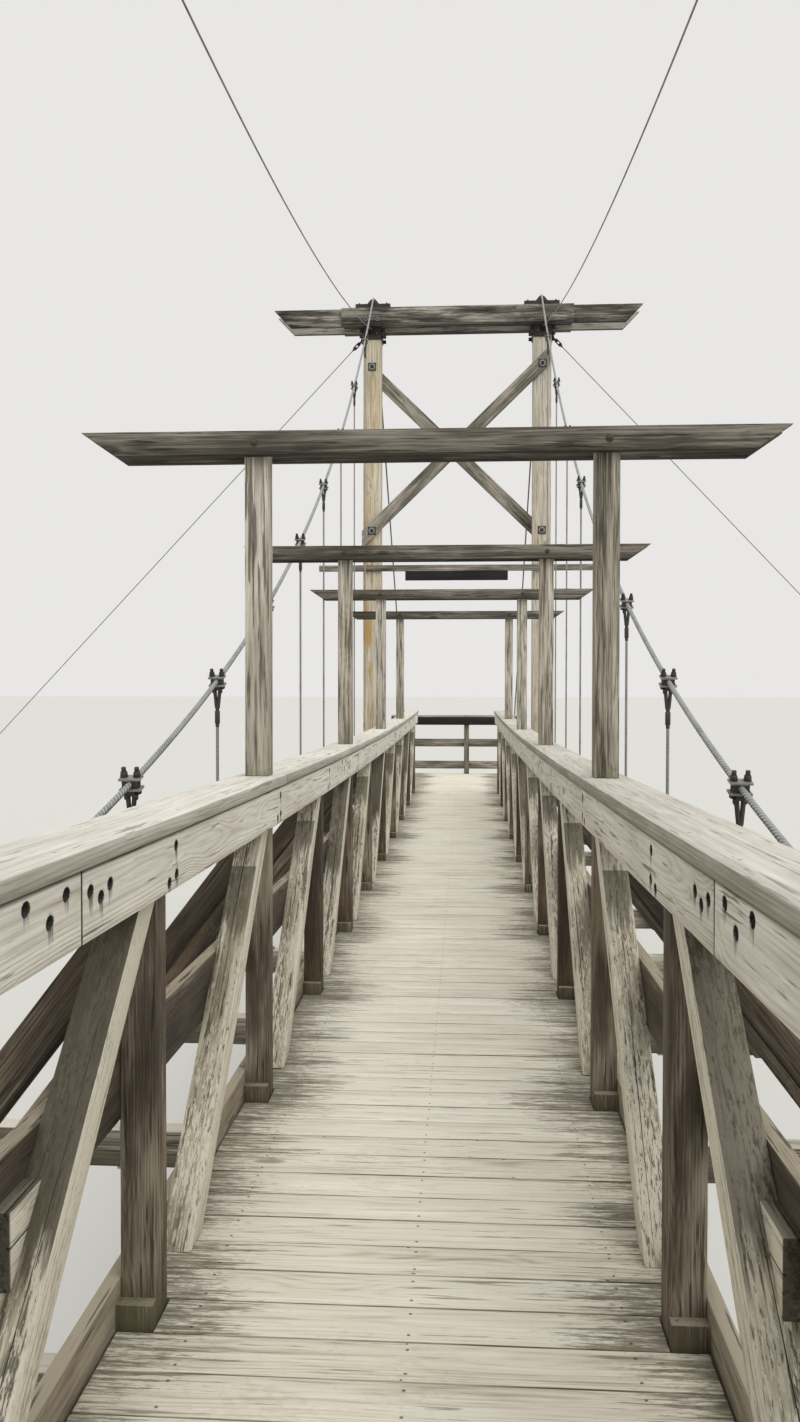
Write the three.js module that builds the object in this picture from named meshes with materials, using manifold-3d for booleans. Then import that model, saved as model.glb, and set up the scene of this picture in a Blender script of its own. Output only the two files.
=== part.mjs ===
// Timber footbridge hung from two wire-rope cables, as a 1:2 scale model.
// Frame: +X across the deck to the right, +Y along the bridge, +Z up,
// origin on the ground under the middle of the span.
// Every driving dimension is the real bridge's, in millimetres. The whole
// group is scaled once, at the end, by MODEL_SCALE.
import * as THREE from 'three';
import { mergeVertices } from 'three/addons/utils/BufferGeometryUtils.js';
import Module from 'manifold-3d';

const wasm = await Module();
wasm.setup();

const MODEL_SCALE = 0.5;

// Span and deck
const PANEL = 1460;
const HALF_PANELS = 11;
const HALF_SPAN = PANEL * HALF_PANELS;
const DECK_HEIGHT = 2400;
const PROFILE_SLOPE = -25.3;
const PROFILE_CURVE = 2.82;
const CLEAR_WIDTH = 1206;
const DECK_THICKNESS = 38;
const FIT_GAP = 0.8;
const EMBED = 2;

// Timber sections
const POST = 89;
const PLANK = 38;
const CHORD_DEPTH = 184;
const RAIL_DEPTH = 140;

// Floor framing
const FLOOR_BEAM_DROP = 140;
const FLOOR_BEAM_DEPTH = 140;
const FLOOR_BEAM_WIDTH = 83;
const FLOOR_BEAM_HALF_LENGTH = 1700;
const STRINGER_WIDTH = 89;
const STRINGER_LAP = 8;
const STRINGER_CENTRES = [-515, 0, 515];

// Side trusses and handrails
const CAP_UNDERSIDE = 1170;
const CAP_THICKNESS = 38;
const CAP_WIDTH = 184;
const VERTICAL_CLEARANCE = 4;
const GATE_POST_LAP = 8;
const CURB_TOP = 100;
const MID_RAIL_TOP = 662;
const DIAGONAL_FOOT = 270;
const DIAGONAL_HEAD = 1135;
const FOOT_BLOCK_DEPTH = 38;
const FOOT_BLOCK_HEIGHT = 56;
const FOOT_BLOCK_WIDTH = 100;
const OUTRIGGER_WIDTH = 89;
const OUTRIGGER_FOOT_X = 1630;
const OUTRIGGER_HEAD = 940;
const OUTRIGGER_LAP = 25;
const CLEAT_PANEL = 1;
const CLEAT_START = 720;
const CLEAT_HEIGHT = 140;
const CLEAT_WIDTH = 35;

// Gates over the deck, on every second panel point
const GATE_TOP = 2485;
const GATE_PLANK_DEPTH = 89;
const GATE_HALF_TOP = 1300;
const GATE_HALF_BOTTOM = 1170;
const GATE_PACKING_INSET = 5;

// Towers
const LEG = 260;
const LEG_CENTRE = 1228;
const CAP_BEAM_TOP = 7018;
const CAP_BEAM_DEPTH = 250;
const CAP_BEAM_THICKNESS = 60;
const CAP_BEAM_HALF_TOP = 2650;
const CAP_BEAM_HALF_BOTTOM = 2410;
const DOUBLER_HALF_LENGTH = 1667;
const DOUBLER_THICKNESS = 60;
const PACKING_DEPTH = 180;
const BRACE_WIDTH = 184;
const BRACE_THICKNESS = 45;
const BRACE_LOW = 3820;
const BRACE_HIGH = 6200;
const BRACE_OVERRUN = 110;
const BRACE_OFFSET = -20;
const STRUT_BOTTOM = 3235;
const STRUT_DEPTH = 89;
const STRUT_HALF_LENGTH = 2000;
const NAME_BOARD_HALF = 742;
const NAME_BOARD_DEPTH = 135;
const NAME_BOARD_INSET = 6;

// Cables and steelwork
const MAIN_CABLE_DIAMETER = 28;
const TIE_DIAMETER = 12;
const HANGER_DIAMETER = 16;
const CLAMP_HALF_WIDTH = 45;
const CLAMP_HALF_LENGTH = 32;
const CLAMP_RISE = 24;
const FORK_HALF = 14;
const FORK_DEPTH = 150;
const HANGER_FOOT_HALF_WIDTH = 40;
const HANGER_FOOT_HALF_LENGTH = 38;
const HANGER_FOOT_THICKNESS = 10;
const CABLE_LOW = 612;
const CABLE_PEAK = 7270;
const CABLE_POWER = 1.93;
const CABLE_MID_X = 1110;
const CABLE_TOWER_X = 1217;
const SADDLE_REACH = 104;
const SADDLE_PLATE = 82;
const BACKSTAY_LAP = 6;
const SADDLE_PLATE_HALF_LENGTH = 252;
const SADDLE_PLATE_HALF_WIDTH = 160;
const SADDLE_HALF_THICKNESS = 40;
const SOCKET_HEIGHT = 60;
const SOCKET_HALF_WIDTH = 20;
const SOCKET_HALF_LENGTH = 45;
const ANCHOR_PLATE = 110;
const TIE_X = 1236;
const TIE_MID_X = 1262;
const TIE_END = 6740;
const TIE_LOW = 4620;
const GUY_TOP = 6620;
const GUY_EYE = 30;
const GUY_FOOT_X = 9880;
const GUY_FOOT_HEIGHT = 60;
const TURNBUCKLE_START = 40;
const TURNBUCKLE_END = 250;
const TURNBUCKLE_DIAMETER = 44;
const GUY_LUG_HALF_THICKNESS = 10;
const GUY_LUG_HALF_HEIGHT = 30;
const GUY_PLATE_HALF_WIDTH = 60;
const GUY_PLATE_HALF_HEIGHT = 90;
const GUY_FOOT_HALF = 90;
const STEEL_PLATE = 16;
const TIE_STEPS = 8;
const TIE_PLATE_HALF = 50;
const TIE_PLATE_RISE = 20;
const TIE_PLATE_DROP = 80;
const TIE_PLATE_DEPTH = 33;
const ANCHOR_BLOCK = 800;
const ANCHOR_HEIGHT = 450;

// End landings
const LANDING_START = 150;
const LANDING_LENGTH = 3600;
const LANDING_HALF_WIDTH = 1200;
const RAILING_HEIGHT = 1060;
const RAILING_CENTRE_POST = 158;
const RAILING_LEVELS = [85, 485];
const JOIST_INSET = 100;
const BEAM_INSET = 20;
const BENT_INSET = 200;
const STILT_INSET = 250;

const INNER_FACE = CLEAR_WIDTH / 2;
const OUTER_FACE = INNER_FACE + POST;

const deckTimber = new THREE.MeshStandardMaterial({ color: 0xb3ab98, roughness: 0.9, metalness: 0 });
const trussTimber = new THREE.MeshStandardMaterial({ color: 0x746a5a, roughness: 0.9, metalness: 0 });
const railTimber = new THREE.MeshStandardMaterial({ color: 0xb9b2a6, roughness: 0.88, metalness: 0 });
const gateTimber = new THREE.MeshStandardMaterial({ color: 0x7d756a, roughness: 0.9, metalness: 0 });
const frameTimber = new THREE.MeshStandardMaterial({ color: 0x8c8375, roughness: 0.92, metalness: 0 });
const legTimber = new THREE.MeshStandardMaterial({ color: 0xcbbfa2, roughness: 0.85, metalness: 0 });
const cableSteel = new THREE.MeshStandardMaterial({ color: 0x8f8f8d, roughness: 0.5, metalness: 0.8 });
const concrete = new THREE.MeshStandardMaterial({ color: 0x9d9a92, roughness: 0.95, metalness: 0 });

const bridge = new THREE.Group();

function addMesh(parent, name, geometry, material) {
  const mesh = new THREE.Mesh(geometry, material);
  mesh.name = name;
  parent.add(mesh);
  return mesh;
}

function toSolid(geometry) {
  const bare = geometry.clone();
  bare.deleteAttribute('normal');
  bare.deleteAttribute('uv');
  const merged = mergeVertices(bare, 1e-3);
  return new wasm.Manifold(new wasm.Mesh({
    numProp: 3,
    vertProperties: new Float32Array(merged.attributes.position.array),
    triVerts: new Uint32Array(merged.index.array),
  }));
}

function toGeometry(solid) {
  const mesh = solid.getMesh();
  const geometry = new THREE.BufferGeometry();
  geometry.setAttribute('position', new THREE.BufferAttribute(mesh.vertProperties, 3));
  geometry.setIndex(new THREE.BufferAttribute(mesh.triVerts, 1));
  geometry.computeVertexNormals();
  return geometry;
}

// One closed solid from pieces that run into each other.
function join(geometries) {
  const solids = geometries.map(toSolid);
  return toGeometry(solids.reduce((whole, next) => whole.add(next)));
}

function box(x0, x1, y0, y1, z0, z1) {
  const geometry = new THREE.BoxGeometry(x1 - x0, y1 - y0, z1 - z0);
  return geometry.translate((x0 + x1) / 2, (y0 + y1) / 2, (z0 + z1) / 2);
}

function extrudeOutline(outline, length) {
  const shape = new THREE.Shape(outline.map(([u, v]) => new THREE.Vector2(u, v)));
  return new THREE.ExtrudeGeometry(shape, { depth: length, bevelEnabled: false });
}

// Outline points are [y, z]; the prism runs from x0 to x1.
function prismAcross(outline, x0, x1) {
  const geometry = extrudeOutline(outline, x1 - x0);
  const turn = new THREE.Matrix4().makeBasis(
    new THREE.Vector3(0, 1, 0), new THREE.Vector3(0, 0, 1), new THREE.Vector3(1, 0, 0));
  return geometry.applyMatrix4(turn).translate(x0, 0, 0);
}

// Outline points are [x, z]; the prism runs from y0 to y1.
function prismAlong(outline, y0, y1) {
  const geometry = extrudeOutline(outline, y1 - y0);
  const turn = new THREE.Matrix4().makeBasis(
    new THREE.Vector3(1, 0, 0), new THREE.Vector3(0, 0, 1), new THREE.Vector3(0, -1, 0));
  return geometry.applyMatrix4(turn).translate(0, y1, 0);
}

// A plank between two points of a plane, as an outline of four corners.
function plankOutline([u0, v0], [u1, v1], width, extend = 0) {
  const run = Math.hypot(u1 - u0, v1 - v0);
  const along = [(u1 - u0) / run, (v1 - v0) / run];
  const side = [-along[1] * width / 2, along[0] * width / 2];
  const start = [u0 - along[0] * extend, v0 - along[1] * extend];
  const end = [u1 + along[0] * extend, v1 + along[1] * extend];
  return [
    [start[0] - side[0], start[1] - side[1]], [end[0] - side[0], end[1] - side[1]],
    [end[0] + side[0], end[1] + side[1]], [start[0] + side[0], start[1] + side[1]],
  ];
}

function rod(from, to, diameter, sides = 6) {
  const start = new THREE.Vector3(...from);
  const end = new THREE.Vector3(...to);
  const span = end.clone().sub(start);
  const geometry = new THREE.CylinderGeometry(diameter / 2, diameter / 2, span.length(), sides);
  const turn = new THREE.Quaternion().setFromUnitVectors(new THREE.Vector3(0, 1, 0), span.clone().normalize());
  geometry.applyQuaternion(turn);
  return geometry.translate(...start.add(end).multiplyScalar(0.5).toArray());
}

// A round section swept along hand-placed or computed points.
function cable(points, diameter, steps, sides = 8) {
  const curve = new THREE.CatmullRomCurve3(points.map((p) => new THREE.Vector3(...p)), false, 'centripetal');
  const section = new THREE.Shape();
  for (let i = 0; i <= sides; i += 1) {
    const angle = (i % sides) * 2 * Math.PI / sides;
    const u = Math.cos(angle) * diameter / 2;
    const v = Math.sin(angle) * diameter / 2;
    if (i === 0) section.moveTo(u, v);
    else section.lineTo(u, v);
  }
  return new THREE.ExtrudeGeometry(section, { steps, extrudePath: curve, bevelEnabled: false });
}

// Height of the deck's top at a panel point, counted from the middle.
function deckTopAt(index) {
  const fromTower = HALF_PANELS - Math.abs(index);
  if (fromTower <= 0) return DECK_HEIGHT;
  return DECK_HEIGHT + PROFILE_SLOPE * fromTower + PROFILE_CURVE * fromTower * fromTower;
}

const panelPoints = [];
for (let index = -HALF_PANELS; index <= HALF_PANELS; index += 1) {
  panelPoints.push({ index, y: index * PANEL, deck: deckTopAt(index), outward: Math.sign(index) || 1 });
}

// A long member that follows the deck's profile, between two offsets from it.
function longMember(x0, x1, lower, upper, overrun) {
  const first = panelPoints[0];
  const last = panelPoints[panelPoints.length - 1];
  const line = [[first.y - overrun, first.deck]];
  panelPoints.forEach((p) => line.push([p.y, p.deck]));
  line.push([last.y + overrun, last.deck]);
  const bottom = line.map(([y, z]) => [y, z + lower]);
  const top = line.map(([y, z]) => [y, z + upper]).reverse();
  return prismAcross([...bottom, ...top], x0, x1);
}

function sided(side, inner, outer) {
  return side > 0 ? [inner, outer] : [-outer, -inner];
}

function atTower(p) {
  return Math.abs(p.index) === HALF_PANELS;
}

// The foot block stands against each vertical on the side of mid-span.
function footBlockSpan(p) {
  const near = p.y - p.outward * (POST / 2 - EMBED);
  const far = p.y - p.outward * (POST / 2 + FOOT_BLOCK_DEPTH);
  return [Math.min(near, far), Math.max(near, far)];
}

// The deck reaches the curbs and is notched round each vertical and its foot block.
function buildDeck() {
  const half = OUTER_FACE - EMBED - FIT_GAP;
  const slab = toSolid(longMember(-half, half, -DECK_THICKNESS, 0, LANDING_START - FIT_GAP));
  const notches = [];
  panelPoints.forEach((p) => {
    const [block0, block1] = footBlockSpan(p);
    const y0 = Math.min(block0, p.y - POST / 2) - FIT_GAP;
    const y1 = Math.max(block1, p.y + POST / 2) + FIT_GAP;
    [1, -1].forEach((side) => {
      const [x0, x1] = sided(side, INNER_FACE - FIT_GAP, OUTER_FACE + POST);
      notches.push(toSolid(box(x0, x1, y0, y1, p.deck - POST, p.deck + POST)));
    });
  });
  addMesh(bridge, 'deck', toGeometry(notches.reduce((rest, notch) => rest.subtract(notch), slab)), deckTimber);
}

function buildFloorFraming() {
  const pieces = STRINGER_CENTRES.map((x) => longMember(
    x - STRINGER_WIDTH / 2, x + STRINGER_WIDTH / 2,
    -FLOOR_BEAM_DROP - STRINGER_LAP, -DECK_THICKNESS - FIT_GAP, POST / 2));
  panelPoints.forEach((p) => {
    const reach = atTower(p) ? LEG_CENTRE - LEG / 2 - FIT_GAP : FLOOR_BEAM_HALF_LENGTH;
    const top = p.deck - FLOOR_BEAM_DROP;
    const half = FLOOR_BEAM_WIDTH / 2;
    pieces.push(box(-reach, reach, p.y - half, p.y + half, top - FLOOR_BEAM_DEPTH, top));
  });
  addMesh(bridge, 'floor_framing', join(pieces), frameTimber);
}

// Two leaning planks clasp each vertical's head and the end of its floor beam.
function outriggers(side, p) {
  const low = p.deck - FLOOR_BEAM_DROP - FLOOR_BEAM_DEPTH;
  const head = p.deck + OUTRIGGER_HEAD;
  const slope = (head - low) / (OUTRIGGER_FOOT_X - OUTER_FACE);
  const halfHeight = OUTRIGGER_WIDTH / 2 * Math.hypot(1, slope);
  const halfFoot = halfHeight / slope;
  const lapX = OUTER_FACE - OUTRIGGER_LAP;
  const lapZ = head + slope * OUTRIGGER_LAP;
  const outline = [
    [OUTRIGGER_FOOT_X - halfFoot, low], [OUTRIGGER_FOOT_X + halfFoot, low],
    [lapX, lapZ + halfHeight], [lapX, lapZ - halfHeight],
  ].map(([x, z]) => [side * x, z]);
  const inner = POST / 2 - EMBED;
  return [
    prismAlong(outline, p.y + inner, p.y + inner + PLANK),
    prismAlong(outline, p.y - inner - PLANK, p.y - inner),
  ];
}

// A square timber that stands on the deck and leans up to the next vertical.
const diagonalSlope = (DIAGONAL_HEAD - FIT_GAP) / (PANEL - POST / 2 - DIAGONAL_FOOT);
function diagonalPieces(index, direction, x0, x1) {
  const rise = deckTopAt(index + 1) - deckTopAt(index);
  const place = (u, height) => [
    direction * (index * PANEL + u), deckTopAt(index) + rise * u / PANEL + height];
  const thickness = POST * Math.hypot(1, diagonalSlope);
  const head = PANEL - POST / 2 + EMBED;
  const upper = (u) => FIT_GAP + (u - DIAGONAL_FOOT) * diagonalSlope;
  const pieces = [prismAcross([
    place(DIAGONAL_FOOT, FIT_GAP), place(DIAGONAL_FOOT + thickness / diagonalSlope, FIT_GAP),
    place(head, upper(head) - thickness), place(head, upper(head)),
  ], x0, x1)];
  if (index === CLEAT_PANEL) {
    const foot = upper(CLEAT_START);
    const end = CLEAT_START + CLEAT_HEIGHT / diagonalSlope;
    const [cleat0, cleat1] = x0 > 0 ? [x1 - CLEAT_WIDTH, x1] : [x0, x0 + CLEAT_WIDTH];
    pieces.push(prismAcross([
      place(CLEAT_START, foot - PLANK), place(end, foot + CLEAT_HEIGHT - PLANK),
      place(end, foot + CLEAT_HEIGHT), place(CLEAT_START, foot + CLEAT_HEIGHT),
    ], cleat0, cleat1));
  }
  return pieces;
}

function buildTruss(side, name) {
  const [x0, x1] = sided(side, INNER_FACE, OUTER_FACE);
  const [plank0, plank1] = sided(side, OUTER_FACE - EMBED, OUTER_FACE + PLANK);
  const [block0, block1] = sided(side, INNER_FACE, INNER_FACE + FOOT_BLOCK_WIDTH);
  const pieces = [
    longMember(plank0, plank1, CURB_TOP - CHORD_DEPTH, CURB_TOP, POST / 2),
    longMember(plank0, plank1, MID_RAIL_TOP - CHORD_DEPTH, MID_RAIL_TOP, POST / 2),
  ];
  panelPoints.forEach((p) => {
    const foot = p.deck - FLOOR_BEAM_DROP;
    const head = p.deck + CAP_UNDERSIDE - VERTICAL_CLEARANCE;
    pieces.push(box(x0, x1, p.y - POST / 2, p.y + POST / 2, foot, head));
    pieces.push(box(block0, block1, ...footBlockSpan(p), foot, p.deck + FOOT_BLOCK_HEIGHT));
    if (!atTower(p)) pieces.push(...outriggers(side, p));
  });
  for (let index = 0; index < HALF_PANELS; index += 1) {
    [1, -1].forEach((direction) => pieces.push(...diagonalPieces(index, direction, x0, x1)));
  }
  addMesh(bridge, name, join(pieces), trussTimber);
}

function isGate(p) {
  return Math.abs(p.index) % 2 === 1 && !atTower(p);
}

function buildHandrail(side, prefix) {
  const railLow = CAP_UNDERSIDE - RAIL_DEPTH;
  const railHigh = CAP_UNDERSIDE - FIT_GAP;
  const [in0, in1] = sided(side, INNER_FACE - PLANK, INNER_FACE);
  const [out0, out1] = sided(side, OUTER_FACE, OUTER_FACE + PLANK);
  addMesh(bridge, `${prefix}_inner_rail`, longMember(in0, in1, railLow, railHigh, POST / 2), railTimber);
  addMesh(bridge, `${prefix}_outer_rail`, longMember(out0, out1, railLow, railHigh, POST / 2), railTimber);

  const middle = (INNER_FACE + OUTER_FACE) / 2;
  const [cap0, cap1] = sided(side, middle - CAP_WIDTH / 2, middle + CAP_WIDTH / 2);
  const [post0, post1] = sided(side, INNER_FACE, OUTER_FACE);
  const pieces = [longMember(cap0, cap1, CAP_UNDERSIDE, CAP_UNDERSIDE + CAP_THICKNESS, POST)];
  panelPoints.filter(isGate).forEach((p) => pieces.push(box(
    post0, post1, p.y - POST / 2, p.y + POST / 2,
    p.deck + CAP_UNDERSIDE + CAP_THICKNESS - GATE_POST_LAP, p.deck + GATE_TOP)));
  addMesh(bridge, `${prefix}_handrail_with_gate_posts`, join(pieces), railTimber);
}

// A gate beam is two planks that clasp the posts, packed apart in the middle.
function buildGateBeams() {
  panelPoints.filter(isGate).forEach((p, order) => {
    const top = p.deck + GATE_TOP;
    const bottom = top - GATE_PLANK_DEPTH;
    const outline = [
      [-GATE_HALF_BOTTOM, bottom], [GATE_HALF_BOTTOM, bottom], [GATE_HALF_TOP, top], [-GATE_HALF_TOP, top],
    ];
    const inner = POST / 2 + FIT_GAP / 2;
    const pieces = [
      prismAlong(outline, p.y - inner - PLANK, p.y - inner),
      prismAlong(outline, p.y + inner, p.y + inner + PLANK),
      box(-POST / 2, POST / 2, p.y - inner - EMBED, p.y + inner + EMBED,
        bottom + GATE_PACKING_INSET, top - GATE_PACKING_INSET),
    ];
    addMesh(bridge, `gate_beam_${order + 1}`, join(pieces), gateTimber);
  });
}

// One tower in its own frame: -Y faces the middle of the span.
function buildTower(prefix, y, turn) {
  const tower = new THREE.Group();
  tower.position.set(0, y, 0);
  tower.rotation.z = turn;
  bridge.add(tower);

  const capTop = DECK_HEIGHT + CAP_BEAM_TOP;
  const legTop = capTop - PACKING_DEPTH;
  [['left', -1], ['right', 1]].forEach(([word, side]) => {
    const centre = side * LEG_CENTRE;
    addMesh(tower, `${prefix}_${word}_leg`,
      box(centre - LEG / 2, centre + LEG / 2, -LEG / 2, LEG / 2, 0, legTop), legTimber);
  });

  const capBottom = capTop - CAP_BEAM_DEPTH;
  const outline = [
    [-CAP_BEAM_HALF_BOTTOM, capBottom], [CAP_BEAM_HALF_BOTTOM, capBottom],
    [CAP_BEAM_HALF_TOP, capTop], [-CAP_BEAM_HALF_TOP, capTop],
  ];
  const face = LEG / 2 + FIT_GAP / 2;
  const outer = face + CAP_BEAM_THICKNESS;
  const half = DOUBLER_HALF_LENGTH;
  const cap = join([
    prismAlong(outline, -outer, -face),
    prismAlong(outline, face, outer),
    box(-half, half, -outer - DOUBLER_THICKNESS, -outer + EMBED, capBottom, capTop),
    box(-half, half, outer - EMBED, outer + DOUBLER_THICKNESS, capBottom, capTop),
    box(-half, half, -face - EMBED, face + EMBED, legTop, capTop),
  ]);
  addMesh(tower, `${prefix}_cap_beam`, cap, gateTimber);

  const low = DECK_HEIGHT + BRACE_LOW;
  const high = DECK_HEIGHT + BRACE_HIGH;
  const left = BRACE_OFFSET - LEG_CENTRE;
  const right = BRACE_OFFSET + LEG_CENTRE;
  const front = plankOutline([left, low], [right, high], BRACE_WIDTH, BRACE_OVERRUN);
  const back = plankOutline([left, high], [right, low], BRACE_WIDTH, BRACE_OVERRUN);
  addMesh(tower, `${prefix}_front_brace`, prismAlong(front, -face - BRACE_THICKNESS, -face), frameTimber);
  addMesh(tower, `${prefix}_back_brace`, prismAlong(back, face, face + BRACE_THICKNESS), frameTimber);

  const strutLow = DECK_HEIGHT + STRUT_BOTTOM;
  const strut = join([
    box(-STRUT_HALF_LENGTH, STRUT_HALF_LENGTH, -face - PLANK, -face, strutLow, strutLow + STRUT_DEPTH),
    box(-NAME_BOARD_HALF, NAME_BOARD_HALF, NAME_BOARD_INSET - face - PLANK, -face - NAME_BOARD_INSET,
      strutLow - NAME_BOARD_DEPTH, strutLow + EMBED),
  ]);
  addMesh(tower, `${prefix}_strut_with_bare_board`, strut, frameTimber);
}

// The main cable's line between the towers, counted in panels from the middle.
const cableScale = (CABLE_PEAK - CABLE_LOW) / HALF_PANELS ** CABLE_POWER;
function cableHeight(index) {
  return DECK_HEIGHT + CABLE_LOW + cableScale * Math.abs(index) ** CABLE_POWER;
}

function cableX(index) {
  return CABLE_MID_X + (CABLE_TOWER_X - CABLE_MID_X) * Math.abs(index) / HALF_PANELS;
}

// Over the saddle the cable bends in an arc that meets the span and the backstay.
const spanEnd = HALF_PANELS - SADDLE_REACH / PANEL;
const spanEndHeight = cableHeight(spanEnd);
const saddleAngle = Math.atan(cableScale * CABLE_POWER * spanEnd ** (CABLE_POWER - 1) / PANEL);
const saddleRadius = SADDLE_REACH / Math.sin(saddleAngle);
const saddleTop = spanEndHeight + saddleRadius * (1 - Math.cos(saddleAngle));
const anchorEye = ANCHOR_HEIGHT + SOCKET_HEIGHT;
const anchorY = HALF_SPAN + SADDLE_REACH + (spanEndHeight - anchorEye) / Math.tan(saddleAngle);

function saddleArc(radius, steps) {
  const points = [];
  for (let i = 0; i <= steps; i += 1) {
    const angle = saddleAngle * (2 * i / steps - 1);
    points.push([radius * Math.sin(angle), saddleTop - saddleRadius + radius * Math.cos(angle)]);
  }
  return points;
}

function mainCablePieces(side) {
  const span = [];
  for (let index = 1 - HALF_PANELS; index < HALF_PANELS; index += 1) {
    span.push([side * cableX(index), index * PANEL, cableHeight(index)]);
  }
  const reach = spanEnd * PANEL;
  const x = side * CABLE_TOWER_X;
  const line = [[x, -reach, spanEndHeight], ...span, [x, reach, spanEndHeight]];
  const pieces = [cable(line, MAIN_CABLE_DIAMETER, 44, 6)];
  [-1, 1].forEach((end) => {
    const arc = saddleArc(saddleRadius, 6).map(([v, z]) => [x, end * HALF_SPAN + v, z]);
    pieces.push(cable(arc, MAIN_CABLE_DIAMETER + 1, 8, 6));
    const leave = end * (HALF_SPAN + SADDLE_REACH - BACKSTAY_LAP);
    const start = [x, leave, spanEndHeight + BACKSTAY_LAP * Math.tan(saddleAngle)];
    pieces.push(rod(start, [x, end * anchorY, anchorEye], MAIN_CABLE_DIAMETER));
  });
  return pieces;
}

function hangerPieces(side, p) {
  const x = side * cableX(p.index);
  const z = cableHeight(p.index);
  const foot = p.deck - FLOOR_BEAM_DROP;
  const footX = HANGER_FOOT_HALF_WIDTH;
  const footY = HANGER_FOOT_HALF_LENGTH;
  return [
    box(x - CLAMP_HALF_WIDTH, x + CLAMP_HALF_WIDTH, p.y - CLAMP_HALF_LENGTH, p.y + CLAMP_HALF_LENGTH,
      z - CLAMP_HALF_LENGTH, z + CLAMP_RISE),
    box(x - FORK_HALF, x + FORK_HALF, p.y - FORK_HALF, p.y + FORK_HALF,
      z - FORK_DEPTH, z - CLAMP_HALF_LENGTH + EMBED),
    rod([x, p.y, foot + EMBED], [x, p.y, z - FORK_DEPTH + EMBED], HANGER_DIAMETER),
    box(x - footX, x + footX, p.y - footY, p.y + footY, foot, foot + HANGER_FOOT_THICKNESS),
  ];
}

function saddlePieces(x, y) {
  const seat = DECK_HEIGHT + CAP_BEAM_TOP;
  const arc = saddleArc(saddleRadius - MAIN_CABLE_DIAMETER / 2 + EMBED, 6).reverse();
  const low = seat + SADDLE_PLATE - EMBED;
  const outline = [[-SADDLE_REACH, low], [SADDLE_REACH, low], ...arc].map(([v, z]) => [y + v, z]);
  const length = SADDLE_PLATE_HALF_LENGTH;
  const width = SADDLE_PLATE_HALF_WIDTH;
  return [
    box(x - length, x + length, y - width, y + width, seat, seat + SADDLE_PLATE),
    prismAcross(outline, x - SADDLE_HALF_THICKNESS, x + SADDLE_HALF_THICKNESS),
  ];
}

function buildMainCable(side, name) {
  const pieces = mainCablePieces(side);
  panelPoints.filter((p) => !atTower(p)).forEach((p) => pieces.push(...hangerPieces(side, p)));
  const x = side * CABLE_TOWER_X;
  [-1, 1].forEach((end) => {
    pieces.push(...saddlePieces(x, end * HALF_SPAN));
    const foot = end * anchorY;
    pieces.push(box(x - SOCKET_HALF_WIDTH, x + SOCKET_HALF_WIDTH,
      foot - SOCKET_HALF_LENGTH, foot + SOCKET_HALF_LENGTH,
      ANCHOR_HEIGHT + STEEL_PLATE - EMBED, ANCHOR_HEIGHT + ANCHOR_PLATE));
    pieces.push(box(x - ANCHOR_PLATE, x + ANCHOR_PLATE, foot - ANCHOR_PLATE, foot + ANCHOR_PLATE,
      ANCHOR_HEIGHT, ANCHOR_HEIGHT + STEEL_PLATE));
  });
  addMesh(bridge, name, join(pieces), cableSteel);
}

// A sagging tie between the towers, with a plate on each leg.
function buildTie(side, name) {
  const end = HALF_SPAN - LEG / 2 - FIT_GAP;
  const reach = end - TIE_PLATE_DEPTH + EMBED;
  const points = [];
  for (let step = -TIE_STEPS; step <= TIE_STEPS; step += 1) {
    const part = step / TIE_STEPS;
    points.push([
      side * (TIE_MID_X + (TIE_X - TIE_MID_X) * part * part), reach * part,
      DECK_HEIGHT + TIE_LOW + (TIE_END - TIE_LOW) * part * part,
    ]);
  }
  const x = side * TIE_X;
  const half = TIE_PLATE_HALF;
  const low = DECK_HEIGHT + TIE_END - TIE_PLATE_DROP;
  const high = DECK_HEIGHT + TIE_END + TIE_PLATE_RISE;
  addMesh(bridge, name, join([
    cable(points, TIE_DIAMETER, 40, 6),
    box(x - half, x + half, end - TIE_PLATE_DEPTH, end, low, high),
    box(x - half, x + half, -end, TIE_PLATE_DEPTH - end, low, high),
  ]), cableSteel);
}

// A guy from an eye plate on the leg, through a turnbuckle, to a foot plate on the ground.
function buildGuy(side, end, name) {
  const y = end * HALF_SPAN;
  const faceX = side * (LEG_CENTRE + LEG / 2 + FIT_GAP);
  const z = DECK_HEIGHT + GUY_TOP;
  const eye = [faceX + side * GUY_EYE, y, z];
  const foot = [side * GUY_FOOT_X, y, GUY_FOOT_HEIGHT];
  const along = new THREE.Vector3(...foot).sub(new THREE.Vector3(...eye)).normalize();
  const at = (distance) => [eye[0] + along.x * distance, y, eye[2] + along.z * distance];
  const reach = (depth) => [faceX, faceX + side * depth].sort((a, b) => a - b);
  const plate = GUY_PLATE_HALF_WIDTH;
  const thin = GUY_LUG_HALF_THICKNESS;
  const lug = GUY_LUG_HALF_HEIGHT;
  addMesh(bridge, name, join([
    rod(eye, foot, TIE_DIAMETER),
    rod(at(TURNBUCKLE_START), at(TURNBUCKLE_END), TURNBUCKLE_DIAMETER),
    box(...reach(STEEL_PLATE), y - plate, y + plate, z - GUY_PLATE_HALF_HEIGHT, z + GUY_PLATE_HALF_HEIGHT),
    box(...reach(GUY_EYE + thin), y - thin, y + thin, z - lug, z + lug),
    box(foot[0] - GUY_FOOT_HALF, foot[0] + GUY_FOOT_HALF, y - GUY_FOOT_HALF, y + GUY_FOOT_HALF, 0, STEEL_PLATE),
    box(foot[0] - lug, foot[0] + lug, y - thin, y + thin, STEEL_PLATE - EMBED, GUY_FOOT_HEIGHT + lug),
  ]), cableSteel);
}

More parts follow.
